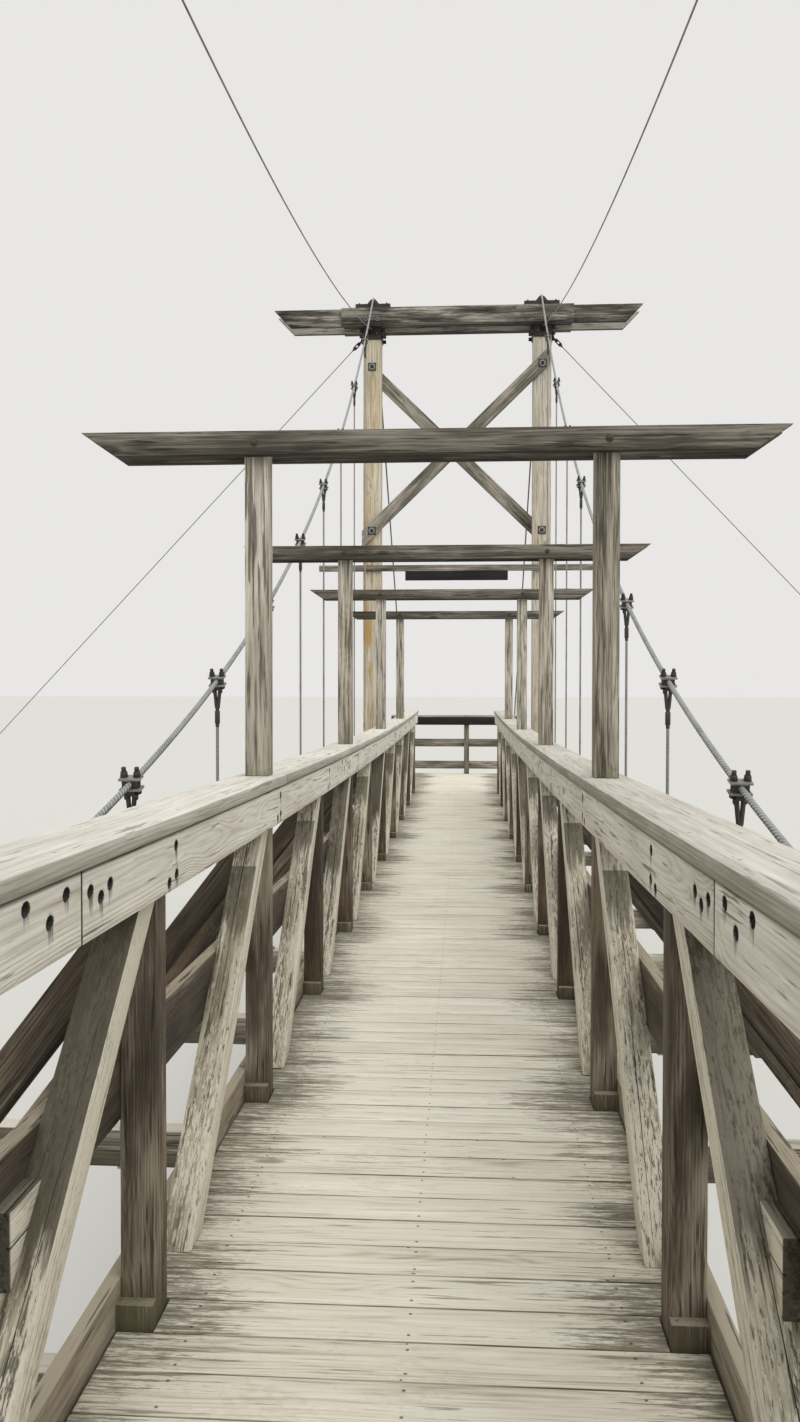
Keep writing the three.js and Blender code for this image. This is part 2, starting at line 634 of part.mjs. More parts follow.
function buildAnchor(side, end, name) {
  const x = side * CABLE_TOWER_X;
  const y = end * anchorY;
  const half = ANCHOR_BLOCK / 2;
  addMesh(bridge, name, box(x - half, x + half, y - half, y + half, 0, ANCHOR_HEIGHT), concrete);
}

function buildLanding(end, prefix) {
  const landing = new THREE.Group();
  landing.position.set(0, end * HALF_SPAN, 0);
  landing.rotation.z = end > 0 ? 0 : Math.PI;
  bridge.add(landing);
  const y0 = LANDING_START;
  const y1 = LANDING_START + LANDING_LENGTH;
  const half = LANDING_HALF_WIDTH;
  const under = DECK_HEIGHT - DECK_THICKNESS;
  const pieces = [box(-half, half, y0, y1, under, DECK_HEIGHT)];
  const joistLow = under - CHORD_DEPTH;
  [JOIST_INSET - half, 0, half - JOIST_INSET].forEach((x) => pieces.push(
    box(x - PLANK, x + PLANK, y0 + BEAM_INSET, y1 - BEAM_INSET, joistLow, under + EMBED)));
  const beamLow = joistLow - CHORD_DEPTH + EMBED;
  const stilt = RAIL_DEPTH / 2;
  [y0 + BENT_INSET, y1 - BENT_INSET].forEach((y) => {
    pieces.push(box(BEAM_INSET - half, half - BEAM_INSET, y - POST / 2, y + POST / 2,
      beamLow, joistLow + EMBED));
    [STILT_INSET - half, half - STILT_INSET].forEach((x) => pieces.push(
      box(x - stilt, x + stilt, y - stilt, y + stilt, 0, beamLow + EMBED)));
  });
  addMesh(landing, `${prefix}_landing`, join(pieces), frameTimber);

  const railY = y1 - POST;
  const capLow = DECK_HEIGHT + RAILING_HEIGHT - PLANK;
  const near = railY - POST / 2;
  const far = railY + POST / 2;
  const outer = half - POST / 2;
  const rails = [-outer, RAILING_CENTRE_POST, outer].map((x) => (
    box(x - POST / 2, x + POST / 2, near, far, DECK_HEIGHT, capLow + EMBED)));
  rails.push(box(-half, half, railY - RAIL_DEPTH / 2, railY + RAIL_DEPTH / 2, capLow, capLow + PLANK));
  rails.push(box(-half, half, near - PLANK, near + EMBED, capLow - RAIL_DEPTH, capLow + EMBED));
  RAILING_LEVELS.map((level) => DECK_HEIGHT + level).forEach((low) => rails.push(
    box(-half, half, far - EMBED, far + PLANK, low, low + RAIL_DEPTH)));
  addMesh(landing, `${prefix}_end_railing`, join(rails), railTimber);
}

buildDeck();
buildFloorFraming();
[['left', -1], ['right', 1]].forEach(([word, side]) => {
  buildTruss(side, `${word}_side_truss`);
  buildHandrail(side, word);
  buildMainCable(side, `${word}_main_cable`);
  buildTie(side, `${word}_tie_cable`);
});
buildGateBeams();
buildTower('far_tower', HALF_SPAN, 0);
buildTower('near_tower', -HALF_SPAN, Math.PI);
[['near', -1], ['far', 1]].forEach(([place, end]) => {
  buildLanding(end, place);
  [['left', -1], ['right', 1]].forEach(([word, side]) => {
    buildGuy(side, end, `${place}_${word}_side_guy`);
    buildAnchor(side, end, `${place}_${word}_anchor_block`);
  });
});

bridge.scale.setScalar(MODEL_SCALE);

export default bridge;
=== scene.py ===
"""Timber suspension footbridge, modelled at half size: weathered boards, trusses, gates and wire ropes.

The solids of the frame give the construction. Each class here builds one sub-assembly in finer
detail, piece by piece, and dresses it in its own finish. Lengths are in the model's metres, and
mm() turns a size of the real bridge, in millimetres, into them.
"""

import logging
import math
from collections.abc import Callable, Iterator, Sequence
from contextlib import contextmanager
from dataclasses import dataclass, field, replace
from enum import Enum

import bpy
import numpy as np
from bpy.types import ColorRamp, Material, Mesh, Node, NodeSocket, Object
from mathutils import Matrix, Vector


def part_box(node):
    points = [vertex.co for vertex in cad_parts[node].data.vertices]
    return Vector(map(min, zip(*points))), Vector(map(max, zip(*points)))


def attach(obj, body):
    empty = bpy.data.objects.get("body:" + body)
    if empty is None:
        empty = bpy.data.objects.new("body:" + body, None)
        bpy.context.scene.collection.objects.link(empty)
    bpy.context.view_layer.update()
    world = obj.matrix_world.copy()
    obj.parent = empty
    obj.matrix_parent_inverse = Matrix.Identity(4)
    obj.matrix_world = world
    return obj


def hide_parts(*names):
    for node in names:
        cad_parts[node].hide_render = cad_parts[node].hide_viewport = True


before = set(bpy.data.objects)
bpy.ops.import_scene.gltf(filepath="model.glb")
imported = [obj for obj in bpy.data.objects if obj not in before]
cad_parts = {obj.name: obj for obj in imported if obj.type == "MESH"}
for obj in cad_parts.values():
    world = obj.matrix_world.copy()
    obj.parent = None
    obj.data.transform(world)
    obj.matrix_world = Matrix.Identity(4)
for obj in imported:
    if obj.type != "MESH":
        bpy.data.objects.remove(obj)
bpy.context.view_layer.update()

logging.basicConfig(level=logging.INFO, format="%(message)s")
LOG = logging.getLogger("footbridge")

MODEL_SCALE = 0.5
UP = Vector((0.0, 0.0, 1.0))
ALONG = Vector((0.0, 1.0, 0.0))
ACROSS = Vector((1.0, 0.0, 0.0))
HALF_TURN = Matrix.Rotation(math.pi, 4, "Z")
IN_PLACE = Matrix.Identity(4)
Colour = tuple[float, float, float, float]
Point = tuple[float, float, float]
Pair = tuple[float, float]


def mm(value: float) -> float:
    """Model metres of a real size in millimetres."""
    return value * MODEL_SCALE / 1000


def in_metres(sizes: Point) -> Point:
    """Model metres of three real sizes in millimetres."""
    return tuple(mm(size) for size in sizes)


class Named(Enum):
    """A choice whose name the pieces carry."""

    @property
    def word(self) -> str:
        """The name in small letters."""
        return self.name.lower()


class Side(Named):
    """A side of the deck, seen from mid-span towards the far tower."""

    LEFT = -1
    RIGHT = 1


class End(Named):
    """An end of the bridge."""

    NEAR = -1
    FAR = 1

    @property
    def turn(self) -> Matrix:
        """The turn that carries a far-end piece to this end."""
        return IN_PLACE if self is End.FAR else HALF_TURN


@dataclass(frozen=True)
class Layout:
    """Lines and levels that every sub-assembly shares.

    The cap's underside, the beams' drop and the cable's heights are counted from the deck.
    """

    panel: float = mm(1460)
    half_panels: int = 11
    deck_height: float = mm(2400)
    profile_slope: float = mm(-25.3)
    profile_curve: float = mm(2.82)
    inner_face: float = mm(603)
    post: float = mm(89)
    plank: float = mm(38)
    cap_underside: float = mm(1170)
    beam_drop: float = mm(140)
    beam_depth: float = mm(140)
    cable_low: float = mm(612)
    cable_peak: float = mm(7270)
    cable_power: float = 1.93
    cable_mid_x: float = mm(1110)
    cable_tower_x: float = mm(1217)
    saddle_reach: float = mm(104)
    anchor_eye: float = mm(510)

    @property
    def outer_face(self) -> float:
        """Distance from the deck's middle to the outer face of the verticals."""
        return self.inner_face + self.post

    @property
    def post_middle(self) -> float:
        """Distance from the deck's middle to the middle of the verticals."""
        return (self.inner_face + self.outer_face) / 2

    @property
    def half_span(self) -> float:
        """Distance from mid-span to a tower's centre."""
        return self.panel * self.half_panels

    def level(self, index: float) -> float:
        """Height of the deck's top.

        Args:
            index: Place along the bridge in panels from mid-span.

        Returns:
            The height over the ground, straight from one panel point to the next.
        """
        low = math.floor(abs(index))
        part = abs(index) - low
        return self._point_level(low) * (1 - part) + self._point_level(low + 1) * part

    def _point_level(self, index: int) -> float:
        """Height of the deck's top at a whole panel point."""
        left = max(self.half_panels - index, 0)
        return self.deck_height + self.profile_slope * left + self.profile_curve * left * left

    def cable_x(self, index: float) -> float:
        """Distance of a main cable from the deck's middle at a place counted in panels."""
        return self.cable_mid_x + (self.cable_tower_x - self.cable_mid_x) * abs(index) / self.half_panels

    def cable_height(self, index: float) -> float:
        """Height of a main cable over the ground at a place counted in panels."""
        rise = (self.cable_peak - self.cable_low) / self.half_panels**self.cable_power
        return self.deck_height + self.cable_low + rise * abs(index) ** self.cable_power

    def cable_slope(self, index: float) -> float:
        """Rise of a main cable for each metre towards the far tower."""
        step = 0.01
        return (self.cable_height(index + step) - self.cable_height(index - step)) / (2 * step * self.panel)

    @property
    def span_end(self) -> float:
        """Place in panels where the cable leaves its saddle."""
        return self.half_panels - self.saddle_reach / self.panel

    @property
    def saddle_angle(self) -> float:
        """Angle at which the cable leaves its saddle on either side."""
        return math.atan(self.cable_slope(self.span_end))

    @property
    def anchor_y(self) -> float:
        """Distance from mid-span to the foot of a backstay."""
        drop = self.cable_height(self.span_end) - self.anchor_eye
        return self.half_span + self.saddle_reach + drop / math.tan(self.saddle_angle)


LAYOUT = Layout()


def hexed(code: str) -> Colour:
    """A shader colour from a six-digit display colour.

    Args:
        code: Red, green and blue as two hexadecimal digits each.

    Returns:
        The colour in linear light, with full alpha.
    """
    parts = [int(code[i : i + 2], 16) / 255 for i in (0, 2, 4)]
    linear = [p / 12.92 if p <= 0.04045 else ((p + 0.055) / 1.055) ** 2.4 for p in parts]
    return (linear[0], linear[1], linear[2], 1.0)


def shader_maths(operation: str, swap: bool = False) -> Callable[..., "Value"]:
    """Write a method of Value that adds a Math node.

    Args:
        operation: The node's operation.
        swap: Puts the value second.

    Returns:
        The method.
    """

    def method(self: "Value", *others: "Value | float") -> "Value":
        """Add the node on this value and the others."""
        terms = (*others, self) if swap else (self, *others)
        return self.paint.value("ShaderNodeMath", {"operation": operation}, dict(enumerate(terms)))

    return method


class Value:
    """A number in a shader that takes part in plain maths."""

    def __init__(self, paint: "Paint", socket: NodeSocket) -> None:
        """Wrap a socket of the paint's node tree."""
        self.paint = paint
        self.socket = socket

    __add__ = __radd__ = shader_maths("ADD")
    __sub__ = shader_maths("SUBTRACT")
    __rsub__ = shader_maths("SUBTRACT", swap=True)
    __mul__ = __rmul__ = shader_maths("MULTIPLY")
    __truediv__ = shader_maths("DIVIDE")
    __pow__ = shader_maths("POWER")
    __abs__ = shader_maths("ABSOLUTE")
    sine = shader_maths("SINE")
    root = shader_maths("SQRT")
    fraction = shader_maths("FRACT")
    angle_from = shader_maths("ARCTAN2")
    least = shader_maths("MINIMUM")
    most = shader_maths("MAXIMUM")

    def to_nearest(self, spacing: float) -> "Value":
        """Distance to the nearest multiple of a spacing."""
        return abs((self / spacing + 0.5).fraction() - 0.5) * spacing

    def fade(self, start: float, stop: float) -> "Value":
        """Smooth step between two limits.

        Args:
            start: The value at which the result is 0.
            stop: The value at which the result is 1; it may be the lower one.

        Returns:
            A mask from 0 to 1.
        """
        low, high, first, last = (start, stop, 0.0, 1.0) if start < stop else (stop, start, 1.0, 0.0)
        smooth = {"interpolation_type": "SMOOTHSTEP"}
        return self.paint.value("ShaderNodeMapRange", smooth, {0: self, 1: low, 2: high, 3: first, 4: last})


Term = Value | float | Colour | Point | NodeSocket
Settings = dict[str, object]
Sockets = dict[int | str, Term]


class Paint:
    """One material under construction, with the few node patterns that the finishes share."""

    def __init__(self, name: str) -> None:
        """Start a material that holds only its surface shader.

        Args:
            name: The material's name.
        """
        self.material = bpy.data.materials.new(name)
        self.material.use_nodes = True
        self.tree = self.material.node_tree
        self.surface = self.tree.nodes["Principled BSDF"]

    def node(self, kind: str, settings: Settings | None = None, sockets: Sockets | None = None) -> Node:
        """Add a node.

        Args:
            kind: The node's type.
            settings: Its properties; "stops" fills a ramp with (place, colour) pairs.
            sockets: Values or links of its input sockets.

        Returns:
            The node.
        """
        made = self.tree.nodes.new(kind)
        for key, value in (settings or {}).items():
            if key == "stops":
                self._fill_ramp(made.color_ramp, value)
            else:
                setattr(made, key, value)
        for key, value in (sockets or {}).items():
            self.feed(made.inputs[key], value)
        return made

    def feed(self, target: NodeSocket, term: Term) -> None:
        """Link a value or a socket to an input, or set the input to a plain number or colour.

        Args:
            target: The input.
            term: What it gets.
        """
        source = term.socket if isinstance(term, Value) else term
        if isinstance(source, NodeSocket):
            self.tree.links.new(source, target)
        else:
            target.default_value = source

    def value(self, kind: str, settings: Settings | None = None, sockets: Sockets | None = None) -> Value:
        """Add a node and take its first output as a value."""
        return Value(self, self.node(kind, settings, sockets).outputs[0])

    @staticmethod
    def _fill_ramp(ramp: ColorRamp, stops: Sequence[tuple[float, Colour]]) -> None:
        """Give a ramp its stops.

        Args:
            ramp: The node's ramp.
            stops: Pairs of a place and a colour.
        """
        while len(ramp.elements) < len(stops):
            ramp.elements.new(0.5)
        for element, (place, colour) in zip(ramp.elements, stops, strict=True):
            element.position = place
            element.color = colour

    def attribute(self, name: str) -> Node:
        """The node that reads an attribute of the mesh."""
        return self.node("ShaderNodeAttribute", {"attribute_name": name})

    def axes(self, vector: NodeSocket) -> tuple[Value, Value, Value]:
        """The three parts of a vector as values."""
        split = self.node("ShaderNodeSeparateXYZ", sockets={0: vector})
        return tuple(Value(self, out) for out in split.outputs)

    def vector(self, x: Term, y: Term, z: Term) -> NodeSocket:
        """A vector from its three parts."""
        return self.node("ShaderNodeCombineXYZ", sockets={0: x, 1: y, 2: z}).outputs[0]

    def blend_vectors(self, operation: str, first: Term, second: Term) -> NodeSocket:
        """Vector maths on two vectors."""
        return self.node("ShaderNodeVectorMath", {"operation": operation}, {0: first, 1: second}).outputs[0]

    def noise(self, place: NodeSocket, scale: Point, detail: float = 2.0, rough: float = 0.55) -> Value:
        """Noise in stretched coordinates.

        Args:
            place: The coordinates.
            scale: Waves for each metre along each axis.
            detail: Octaves.
            rough: Weight of the finer octaves.

        Returns:
            A value around 0.5.
        """
        stretched = self.blend_vectors("MULTIPLY", place, scale)
        sockets = {"Vector": stretched, "Scale": 1.0, "Detail": detail, "Roughness": rough}
        return self.value("ShaderNodeTexNoise", sockets=sockets)

    def mix(self, share: Value | float, first: Term, second: Term) -> NodeSocket:
        """Blend two colours by a share from 0 to 1."""
        return self.node("ShaderNodeMix", {"data_type": "RGBA"}, {0: share, 6: first, 7: second}).outputs[2]

    def ramp(self, value: Value, stops: Sequence[tuple[float, Colour]]) -> NodeSocket:
        """Colours along a value."""
        return self.node("ShaderNodeValToRGB", {"stops": stops}, {0: value}).outputs[0]

    def object_place(self) -> NodeSocket:
        """Object coordinates, which are the frame's for every piece."""
        return self.node("ShaderNodeTexCoord").outputs["Object"]

    def finish(
        self, colour: Term, roughness: Term, height: Value, relief: float, metallic: float = 0.0
    ) -> Material:
        """Feed the surface shader.

        Args:
            colour: Base colour.
            roughness: Roughness.
            height: Relief from 0 to 1.
            relief: Depth of the relief in metres.
            metallic: Metal share, the same all over.

        Returns:
            The finished material.
        """
        bump = self.node("ShaderNodeBump", sockets={"Strength": 1.0, "Distance": relief, "Height": height})
        fed = {"Base Color": colour, "Roughness": roughness, "Normal": bump.outputs[0], "Metallic": metallic}
        for name, term in fed.items():
            self.feed(self.surface.inputs[name], term)
        return self.material


class WoodPoint:
    """What a wood finish knows of the point it colours: its place in the timber and in the bridge."""

    def __init__(self, paint: Paint) -> None:
        """Read the timber's attributes.

        Args:
            paint: The material under construction.
        """
        self.paint = paint
        local = paint.attribute("grain").outputs["Vector"]
        self.tone = Value(paint, paint.attribute("tone").outputs["Fac"])
        shift = paint.vector(self.tone * 37.0, self.tone * 11.0, self.tone * 23.0)
        self.place = paint.blend_vectors("ADD", local, shift)
        self.axes = paint.axes(local)
        self.half = paint.axes(paint.attribute("half").outputs["Vector"])
        self.bridge = paint.axes(paint.object_place())
        self.facing = paint.axes(paint.node("ShaderNodeNewGeometry").outputs["Normal"])
        self.depth = tuple(half - abs(part) for half, part in zip(self.half, self.axes, strict=True))

    def noise(self, scale: Point, detail: float = 2.0, rough: float = 0.55, lift: float = 0.0) -> Value:
        """Noise in the timber's own axes; lift takes another part of the pattern.

        Args:
            scale: Waves for each metre along the timber's axes.
            detail: Octaves.
            rough: Weight of the finer octaves.
            lift: Step to another part of the pattern.

        Returns:
            A value around 0.5.
        """
        place = self.place
        if lift:
            place = self.paint.blend_vectors("ADD", place, (lift, lift, lift))
        return self.paint.noise(place, scale, detail, rough)

    def inside(self) -> Value:
        """Distance into the timber from its nearest face."""
        return self.depth[0].least(self.depth[1]).least(self.depth[2])


@dataclass(frozen=True)
class Rings:
    """Growth rings: dark lines round a pith that lies off the timber's middle."""

    spacing: float = mm(8)
    contrast: float = 0.3
    pith: Pair = (mm(20), mm(50))
    spread: Pair = (mm(60), mm(40))
    waviness: float = mm(50)
    bend: float = mm(40)

    def lines(self, at: WoodPoint, swirl: Value) -> Value:
        """Masks of the dark lines, which bend round the knots.

        Args:
            at: The point that is coloured.
            swirl: Mask of the grain that swirls round the knots.

        Returns:
            The lines' mask.
        """
        other = (at.tone * 7.3).fraction()
        y = at.axes[1] + (at.tone - 0.5) * self.spread[0] + self.pith[0]
        z = at.axes[2] + (other - 0.5) * self.spread[1] + self.pith[1]
        wobble = (at.noise((1.7, 6.0, 6.0), 2.0) - 0.5) * self.waviness
        radius = (y * y + z * z).root() + wobble + swirl * self.bend
        wave = (radius * (2 * math.pi / self.spacing)).sine() * 0.5 + 0.5
        return wave**2.0


@dataclass(frozen=True)
class WeatheredWood:
    """A finish for sawn timber that reads each timber's own place, half size and tone."""

    name: str
    shades: tuple[str, str, str]
    rings: Rings = Rings()
    streaks: float = 0.9
    streak_length: float = mm(620)
    patches: float = 0.7
    tone_spread: float = 0.25
    # Top faces lighter: painted light from above, with some sun bleaching.
    top_light_and_bleach: float = 0.1
    # Undersides darker: painted shade.
    painted_underside_shade: float = 0.4
    # Faces towards the deck lighter or darker: painted light from the deck, with some bleaching.
    bleached_inboard: float = 0.0
    cracks: float = 0.3
    flakes: float = 0.0
    splits: float = 0.5
    knots: float = 0.3
    moss: float = 0.2
    moss_colour: str = "6b6a4a"
    stain: float = 0.0
    stain_colour: str = "a4743a"
    damp: Pair = (0.0, 0.0)
    damp_colour: str = "4e4b3e"
    foot: Pair = (0.0, 0.0)
    screw_spacing: float = 0.0
    screw_offset: float = 0.0
    trodden: bool = False
    pockets: bool = False
    dark_ends: float = 0.3
    shaded_head: float = 0.0
    arris_shade: float = 0.0
    grime_and_shade_colour: str = "665f4d"
    gap_dirt_and_shade_colour: str = "4c4734"
    end_grain_and_shadow_colour: str = "2a251d"
    arris_shade_colour: str = "15130f"
    hole_colour: str = "1d1a14"
    relief: float = mm(1.4)

    def material(self) -> Material:
        """Build the finish's material.

        Returns:
            The material.
        """
        at = WoodPoint(Paint(self.name))
        dark, body, pale = self.shades
        cloud = at.noise((2.6, 13.0, 13.0), 4.0, 0.6)
        grain = at.noise((1 / self.streak_length, 120.0, 120.0), 4.0, 0.66)
        fibre = at.noise((14.0, 620.0, 620.0), 1.0)
        knot, swirl = self._knots(at)
        line = self.rings.lines(at, swirl)
        rim = self._rim(at, cloud) if self.trodden else 0.0
        value = 0.5 + (cloud - 0.5) * self.patches + (grain - 0.5) * self.streaks + (fibre - 0.5) * 0.3
        value = value - (line - 0.4) * self.rings.contrast + (at.tone - 0.5) * self.tone_spread
        # Top faces lighter: painted light from above, with some sun bleaching.
        value = value + at.facing[2].most(0.0) * self.top_light_and_bleach
        # Undersides darker: painted shade.
        value = value + at.facing[2].least(0.0) * self.painted_underside_shade
        # Faces towards the deck lighter: painted light from the deck, with some bleaching.
        if self.bleached_inboard:
            value = value + self._inboard(at) * self.bleached_inboard
        colour = at.paint.ramp(value, ((0.15, hexed(dark)), (0.5, hexed(body)), (0.85, hexed(pale))))
        crack = self._cracks(at, cloud, rim)
        coats = [(crack * 0.8, dark)]
        if self.flakes:
            coats.append((self._flakes(at), pale))
        if self.trodden:
            coats += [(self._grime_and_shade(at, rim, cloud), self.grime_and_shade_colour), (self._gap(at), self.gap_dirt_and_shade_colour)]
        if self.damp[1]:
            wet = self._damp(at, cloud, grain) * self._inboard(at).fade(0.6, 0.3)
            coats.append((wet * (0.76 + cloud * 0.5 - at.tone * 0.8).most(0.74), self.damp_colour))
        if self.stain:
            coats.append((self._runs(at) * self.stain, self.stain_colour))
        if self.flakes:
            # Dark pits, and a pale coat on faces towards the deck that is painted light.
            coats += [(self._specks(at), dark), (self._inboard(at).fade(0.5, 0.9) * 0.45, pale)]
        coats += [(self._growth(at), self.moss_colour), (knot * 0.7, dark)]
        # End grain darker.
        coats.append((at.depth[0].fade(mm(4), mm(1)) * self.dark_ends, self.end_grain_and_shadow_colour))
        if self.shaded_head:
            # Painted shadow of the cap along the timber's head.
            head = (at.half[2] - at.axes[2]).fade(mm(11), mm(2))
            coats.append((head * self.shaded_head, self.end_grain_and_shadow_colour))
        # Painted shade on undersides near their long edges.
        if self.arris_shade:
            shaded_arris = at.depth[1].fade(mm(17), mm(8)) * at.facing[2].fade(-0.3, -0.8)
            coats.append((shaded_arris * self.arris_shade, self.arris_shade_colour))
        deep = self._deep(at)
        coats.append((deep * 0.92, self.hole_colour))
        for mask, code in coats:
            colour = at.paint.mix(mask, colour, hexed(code))
        height = grain * 0.45 + fibre * 0.2 + (1 - line) * 0.35 - crack * 0.3 - deep * 1.4
        return at.paint.finish(colour, 0.95 - grain * 0.12, height, self.relief)

    @staticmethod
    def _runs(at: WoodPoint) -> Value:
        """Patchy stains that grow stronger lower down."""
        run = at.noise((1.9, 22.0, 22.0), 4.0, 0.62, 5.0).fade(0.48, 0.64)
        return run * (at.axes[0].fade(mm(3600), mm(-1200)) * 0.75 + 0.25)

    def _knots(self, at: WoodPoint) -> tuple[Value, Value]:
        """Masks of the knots and of the grain that swirls round them.

        Args:
            at: The point that is coloured.

        Returns:
            The knots' mask and the swirl's.
        """
        stretched = at.paint.blend_vectors("MULTIPLY", at.place, (4.6, 13.0, 13.0))
        cells = at.paint.node("ShaderNodeTexVoronoi", sockets={"Vector": stretched, "Scale": 1.0})
        distance = Value(at.paint, cells.outputs["Distance"])
        rare = 1.0 - self.knots * 0.6
        chance = at.paint.axes(cells.outputs["Color"])[0].fade(rare, rare + 0.02)
        return distance.fade(0.15, 0.07) * chance, distance.fade(0.6, 0.03) * chance

    def _inboard(self, at: WoodPoint) -> Value:
        """Faces that look towards the deck."""
        side = (at.bridge[0] * 1000.0).least(1.0).most(-1.0)
        return (at.facing[0] * side * -1.0).most(0.0)

    def _rim(self, at: WoodPoint, cloud: Value) -> Value:
        """The sides of the walkway, which feet miss, and the corners round the verticals.

        Args:
            at: The point that is coloured.
            cloud: Noise of the broad patches.

        Returns:
            A mask that is 1 at the sides.
        """
        side = abs(at.bridge[0])
        near_post = at.bridge[1].to_nearest(LAYOUT.panel).fade(mm(420), mm(60))
        return (side + (cloud - 0.5) * mm(460) + near_post * mm(120)).fade(mm(330), mm(700))

    def _cracks(self, at: WoodPoint, cloud: Value, rim: Value | float) -> Value:
        """Short dark cracks in the grain, thicker in weathered patches.

        Args:
            at: The point that is coloured.
            cloud: Noise of the broad patches.
            rim: The walkway's rim, or 0 where there is none.

        Returns:
            The cracks' mask.
        """
        dash = at.noise((6.5, 150.0, 150.0), 3.0, 0.62, 3.0)
        more = (cloud - 0.5) * 0.35 + (self.cracks - 0.5) * 0.16 + rim * 0.17
        return (dash + more).fade(0.585, 0.66)

    @staticmethod
    def _grime_and_shade(at: WoodPoint, rim: Value, cloud: Value) -> Value:
        """Dirt in short dashes, dense along the sides of the walkway, more in some boards.

        Args:
            at: The point that is coloured.
            rim: The walkway's rim, or 0 where there is none.
            cloud: Noise of the broad patches.

        Returns:
            The dirt's mask.
        """
        dash = at.noise((42.0, 210.0, 210.0), 5.0, 0.78, 12.0)
        blot = (at.tone - 0.5) * 0.1 + (cloud - 0.5) * 0.16
        return (dash + rim * 0.18 + blot).fade(0.585, 0.7) * (0.3 + rim * 0.3) + rim * 0.1

    @staticmethod
    def _gap(at: WoodPoint) -> Value:
        """The boards' long edges, dark with dirt and painted shade in some stretches and clean in others."""
        stretch = at.noise((2.6, 0.0, 0.0), 3.0, 0.6, 15.0).fade(0.36, 0.6)
        return at.depth[1].fade(mm(2.6), mm(0.8)) * stretch * 0.85

    @staticmethod
    def _specks(at: WoodPoint) -> Value:
        """Fine dark pits and checks in patches.

        Args:
            at: The point that is coloured.

        Returns:
            The pits' mask.
        """
        pit = at.noise((60.0, 330.0, 330.0), 3.0, 0.7, 18.0)
        patch = at.noise((3.0, 16.0, 16.0), 3.0, 0.6, 20.0)
        return (pit + (patch - 0.5) * 0.4).fade(0.58, 0.64) * 0.75

    def _flakes(self, at: WoodPoint) -> Value:
        """Torn pale fibres in patches.

        Args:
            at: The point that is coloured.

        Returns:
            The fibres' mask.
        """
        torn = at.noise((42.0, 260.0, 260.0), 4.0, 0.72, 7.0)
        patch = at.noise((2.4, 9.0, 9.0), 3.0, 0.6, 9.0)
        return (torn + (patch - 0.5) * 0.5 + (self.flakes - 0.5) * 0.2).fade(0.53, 0.58) * 0.85

    def _damp(self, at: WoodPoint, cloud: Value, grain: Value) -> Value:
        """The dark upper part: on some timbers it has a dry head and a sharp line above it.

        Args:
            at: The point that is coloured.
            cloud: Noise of the broad patches.
            grain: Noise of the grain.

        Returns:
            The dark part's mask.
        """
        reach = at.half[0] - at.axes[0]
        start, stop = self.damp
        lined = at.tone.fade(0.48, 0.5)
        ragged = reach + (cloud - 0.5) * mm(500) + (grain - 0.5) * mm(420) + (lined - 1.0) * mm(400)
        head = reach.fade(start - mm(3), start + mm(3)).most(1.0 - lined)
        return head * ragged.fade(stop + mm(70), stop - mm(70))

    def _growth(self, at: WoodPoint) -> Value:
        """Moss in damp spots and at the feet.

        Args:
            at: The point that is coloured.

        Returns:
            The moss's mask.
        """
        spread = at.paint.noise(at.paint.object_place(), (3.4, 3.4, 3.4), 4.0, 0.62)
        speck = at.noise((70.0, 110.0, 110.0), 2.0, 0.6)
        start = 0.64 - 0.14 * self.moss
        growth = (spread + (speck - 0.5) * 0.6).fade(start, start + 0.14) * self.moss
        if self.foot[1]:
            rise = at.axes[0] + at.half[0] + (speck - 0.5) * mm(220)
            growth = growth.most(rise.fade(self.foot[1], self.foot[0]) * spread.fade(0.4, 0.6) * 0.5)
        return growth

    def _deep(self, at: WoodPoint) -> Value:
        """Long splits, screw heads, painted shade inside the bolt pockets, and the rust run from them.

        Args:
            at: The point that is coloured.

        Returns:
            A mask of all of them.
        """
        wander = (at.noise((0.9, 0.0, 0.0), 1.0, 0.5, 2.0) - 0.5) * mm(60) + (at.tone - 0.5) * mm(36)
        width = (at.noise((2.3, 0.0, 0.0), 2.0, 0.5, 4.0) - 0.66 + self.splits * 0.22).most(0.0) * mm(11)
        width = width + mm(0.05)
        flat = (abs(at.axes[1] - wander) / width).fade(1.0, 0.5) * at.depth[2].fade(mm(8), mm(6))
        upright = (abs(at.axes[2] + wander) / width).fade(1.0, 0.5) * at.depth[1].fade(mm(8), mm(6))
        deep = flat.most(upright)
        if self.screw_spacing:
            dx = at.axes[0].to_nearest(self.screw_spacing)
            dy = abs(abs(at.axes[1]) - self.screw_offset)
            deep = deep.most((dx * dx + dy * dy).root().fade(mm(5), mm(3)) * 0.8)
        if self.pockets:
            rust = Value(at.paint, at.paint.attribute("rust").outputs["Fac"])
            streak = at.noise((150.0, 150.0, 16.0), 3.0, 0.65)
            # Painted shade inside the bolt pockets.
            deep = deep.most(at.inside().fade(mm(1.0), mm(4.0)))
            deep = deep.most((rust + (streak - 0.5) * 0.9).fade(0.42, 0.95) * 0.8)
        return deep


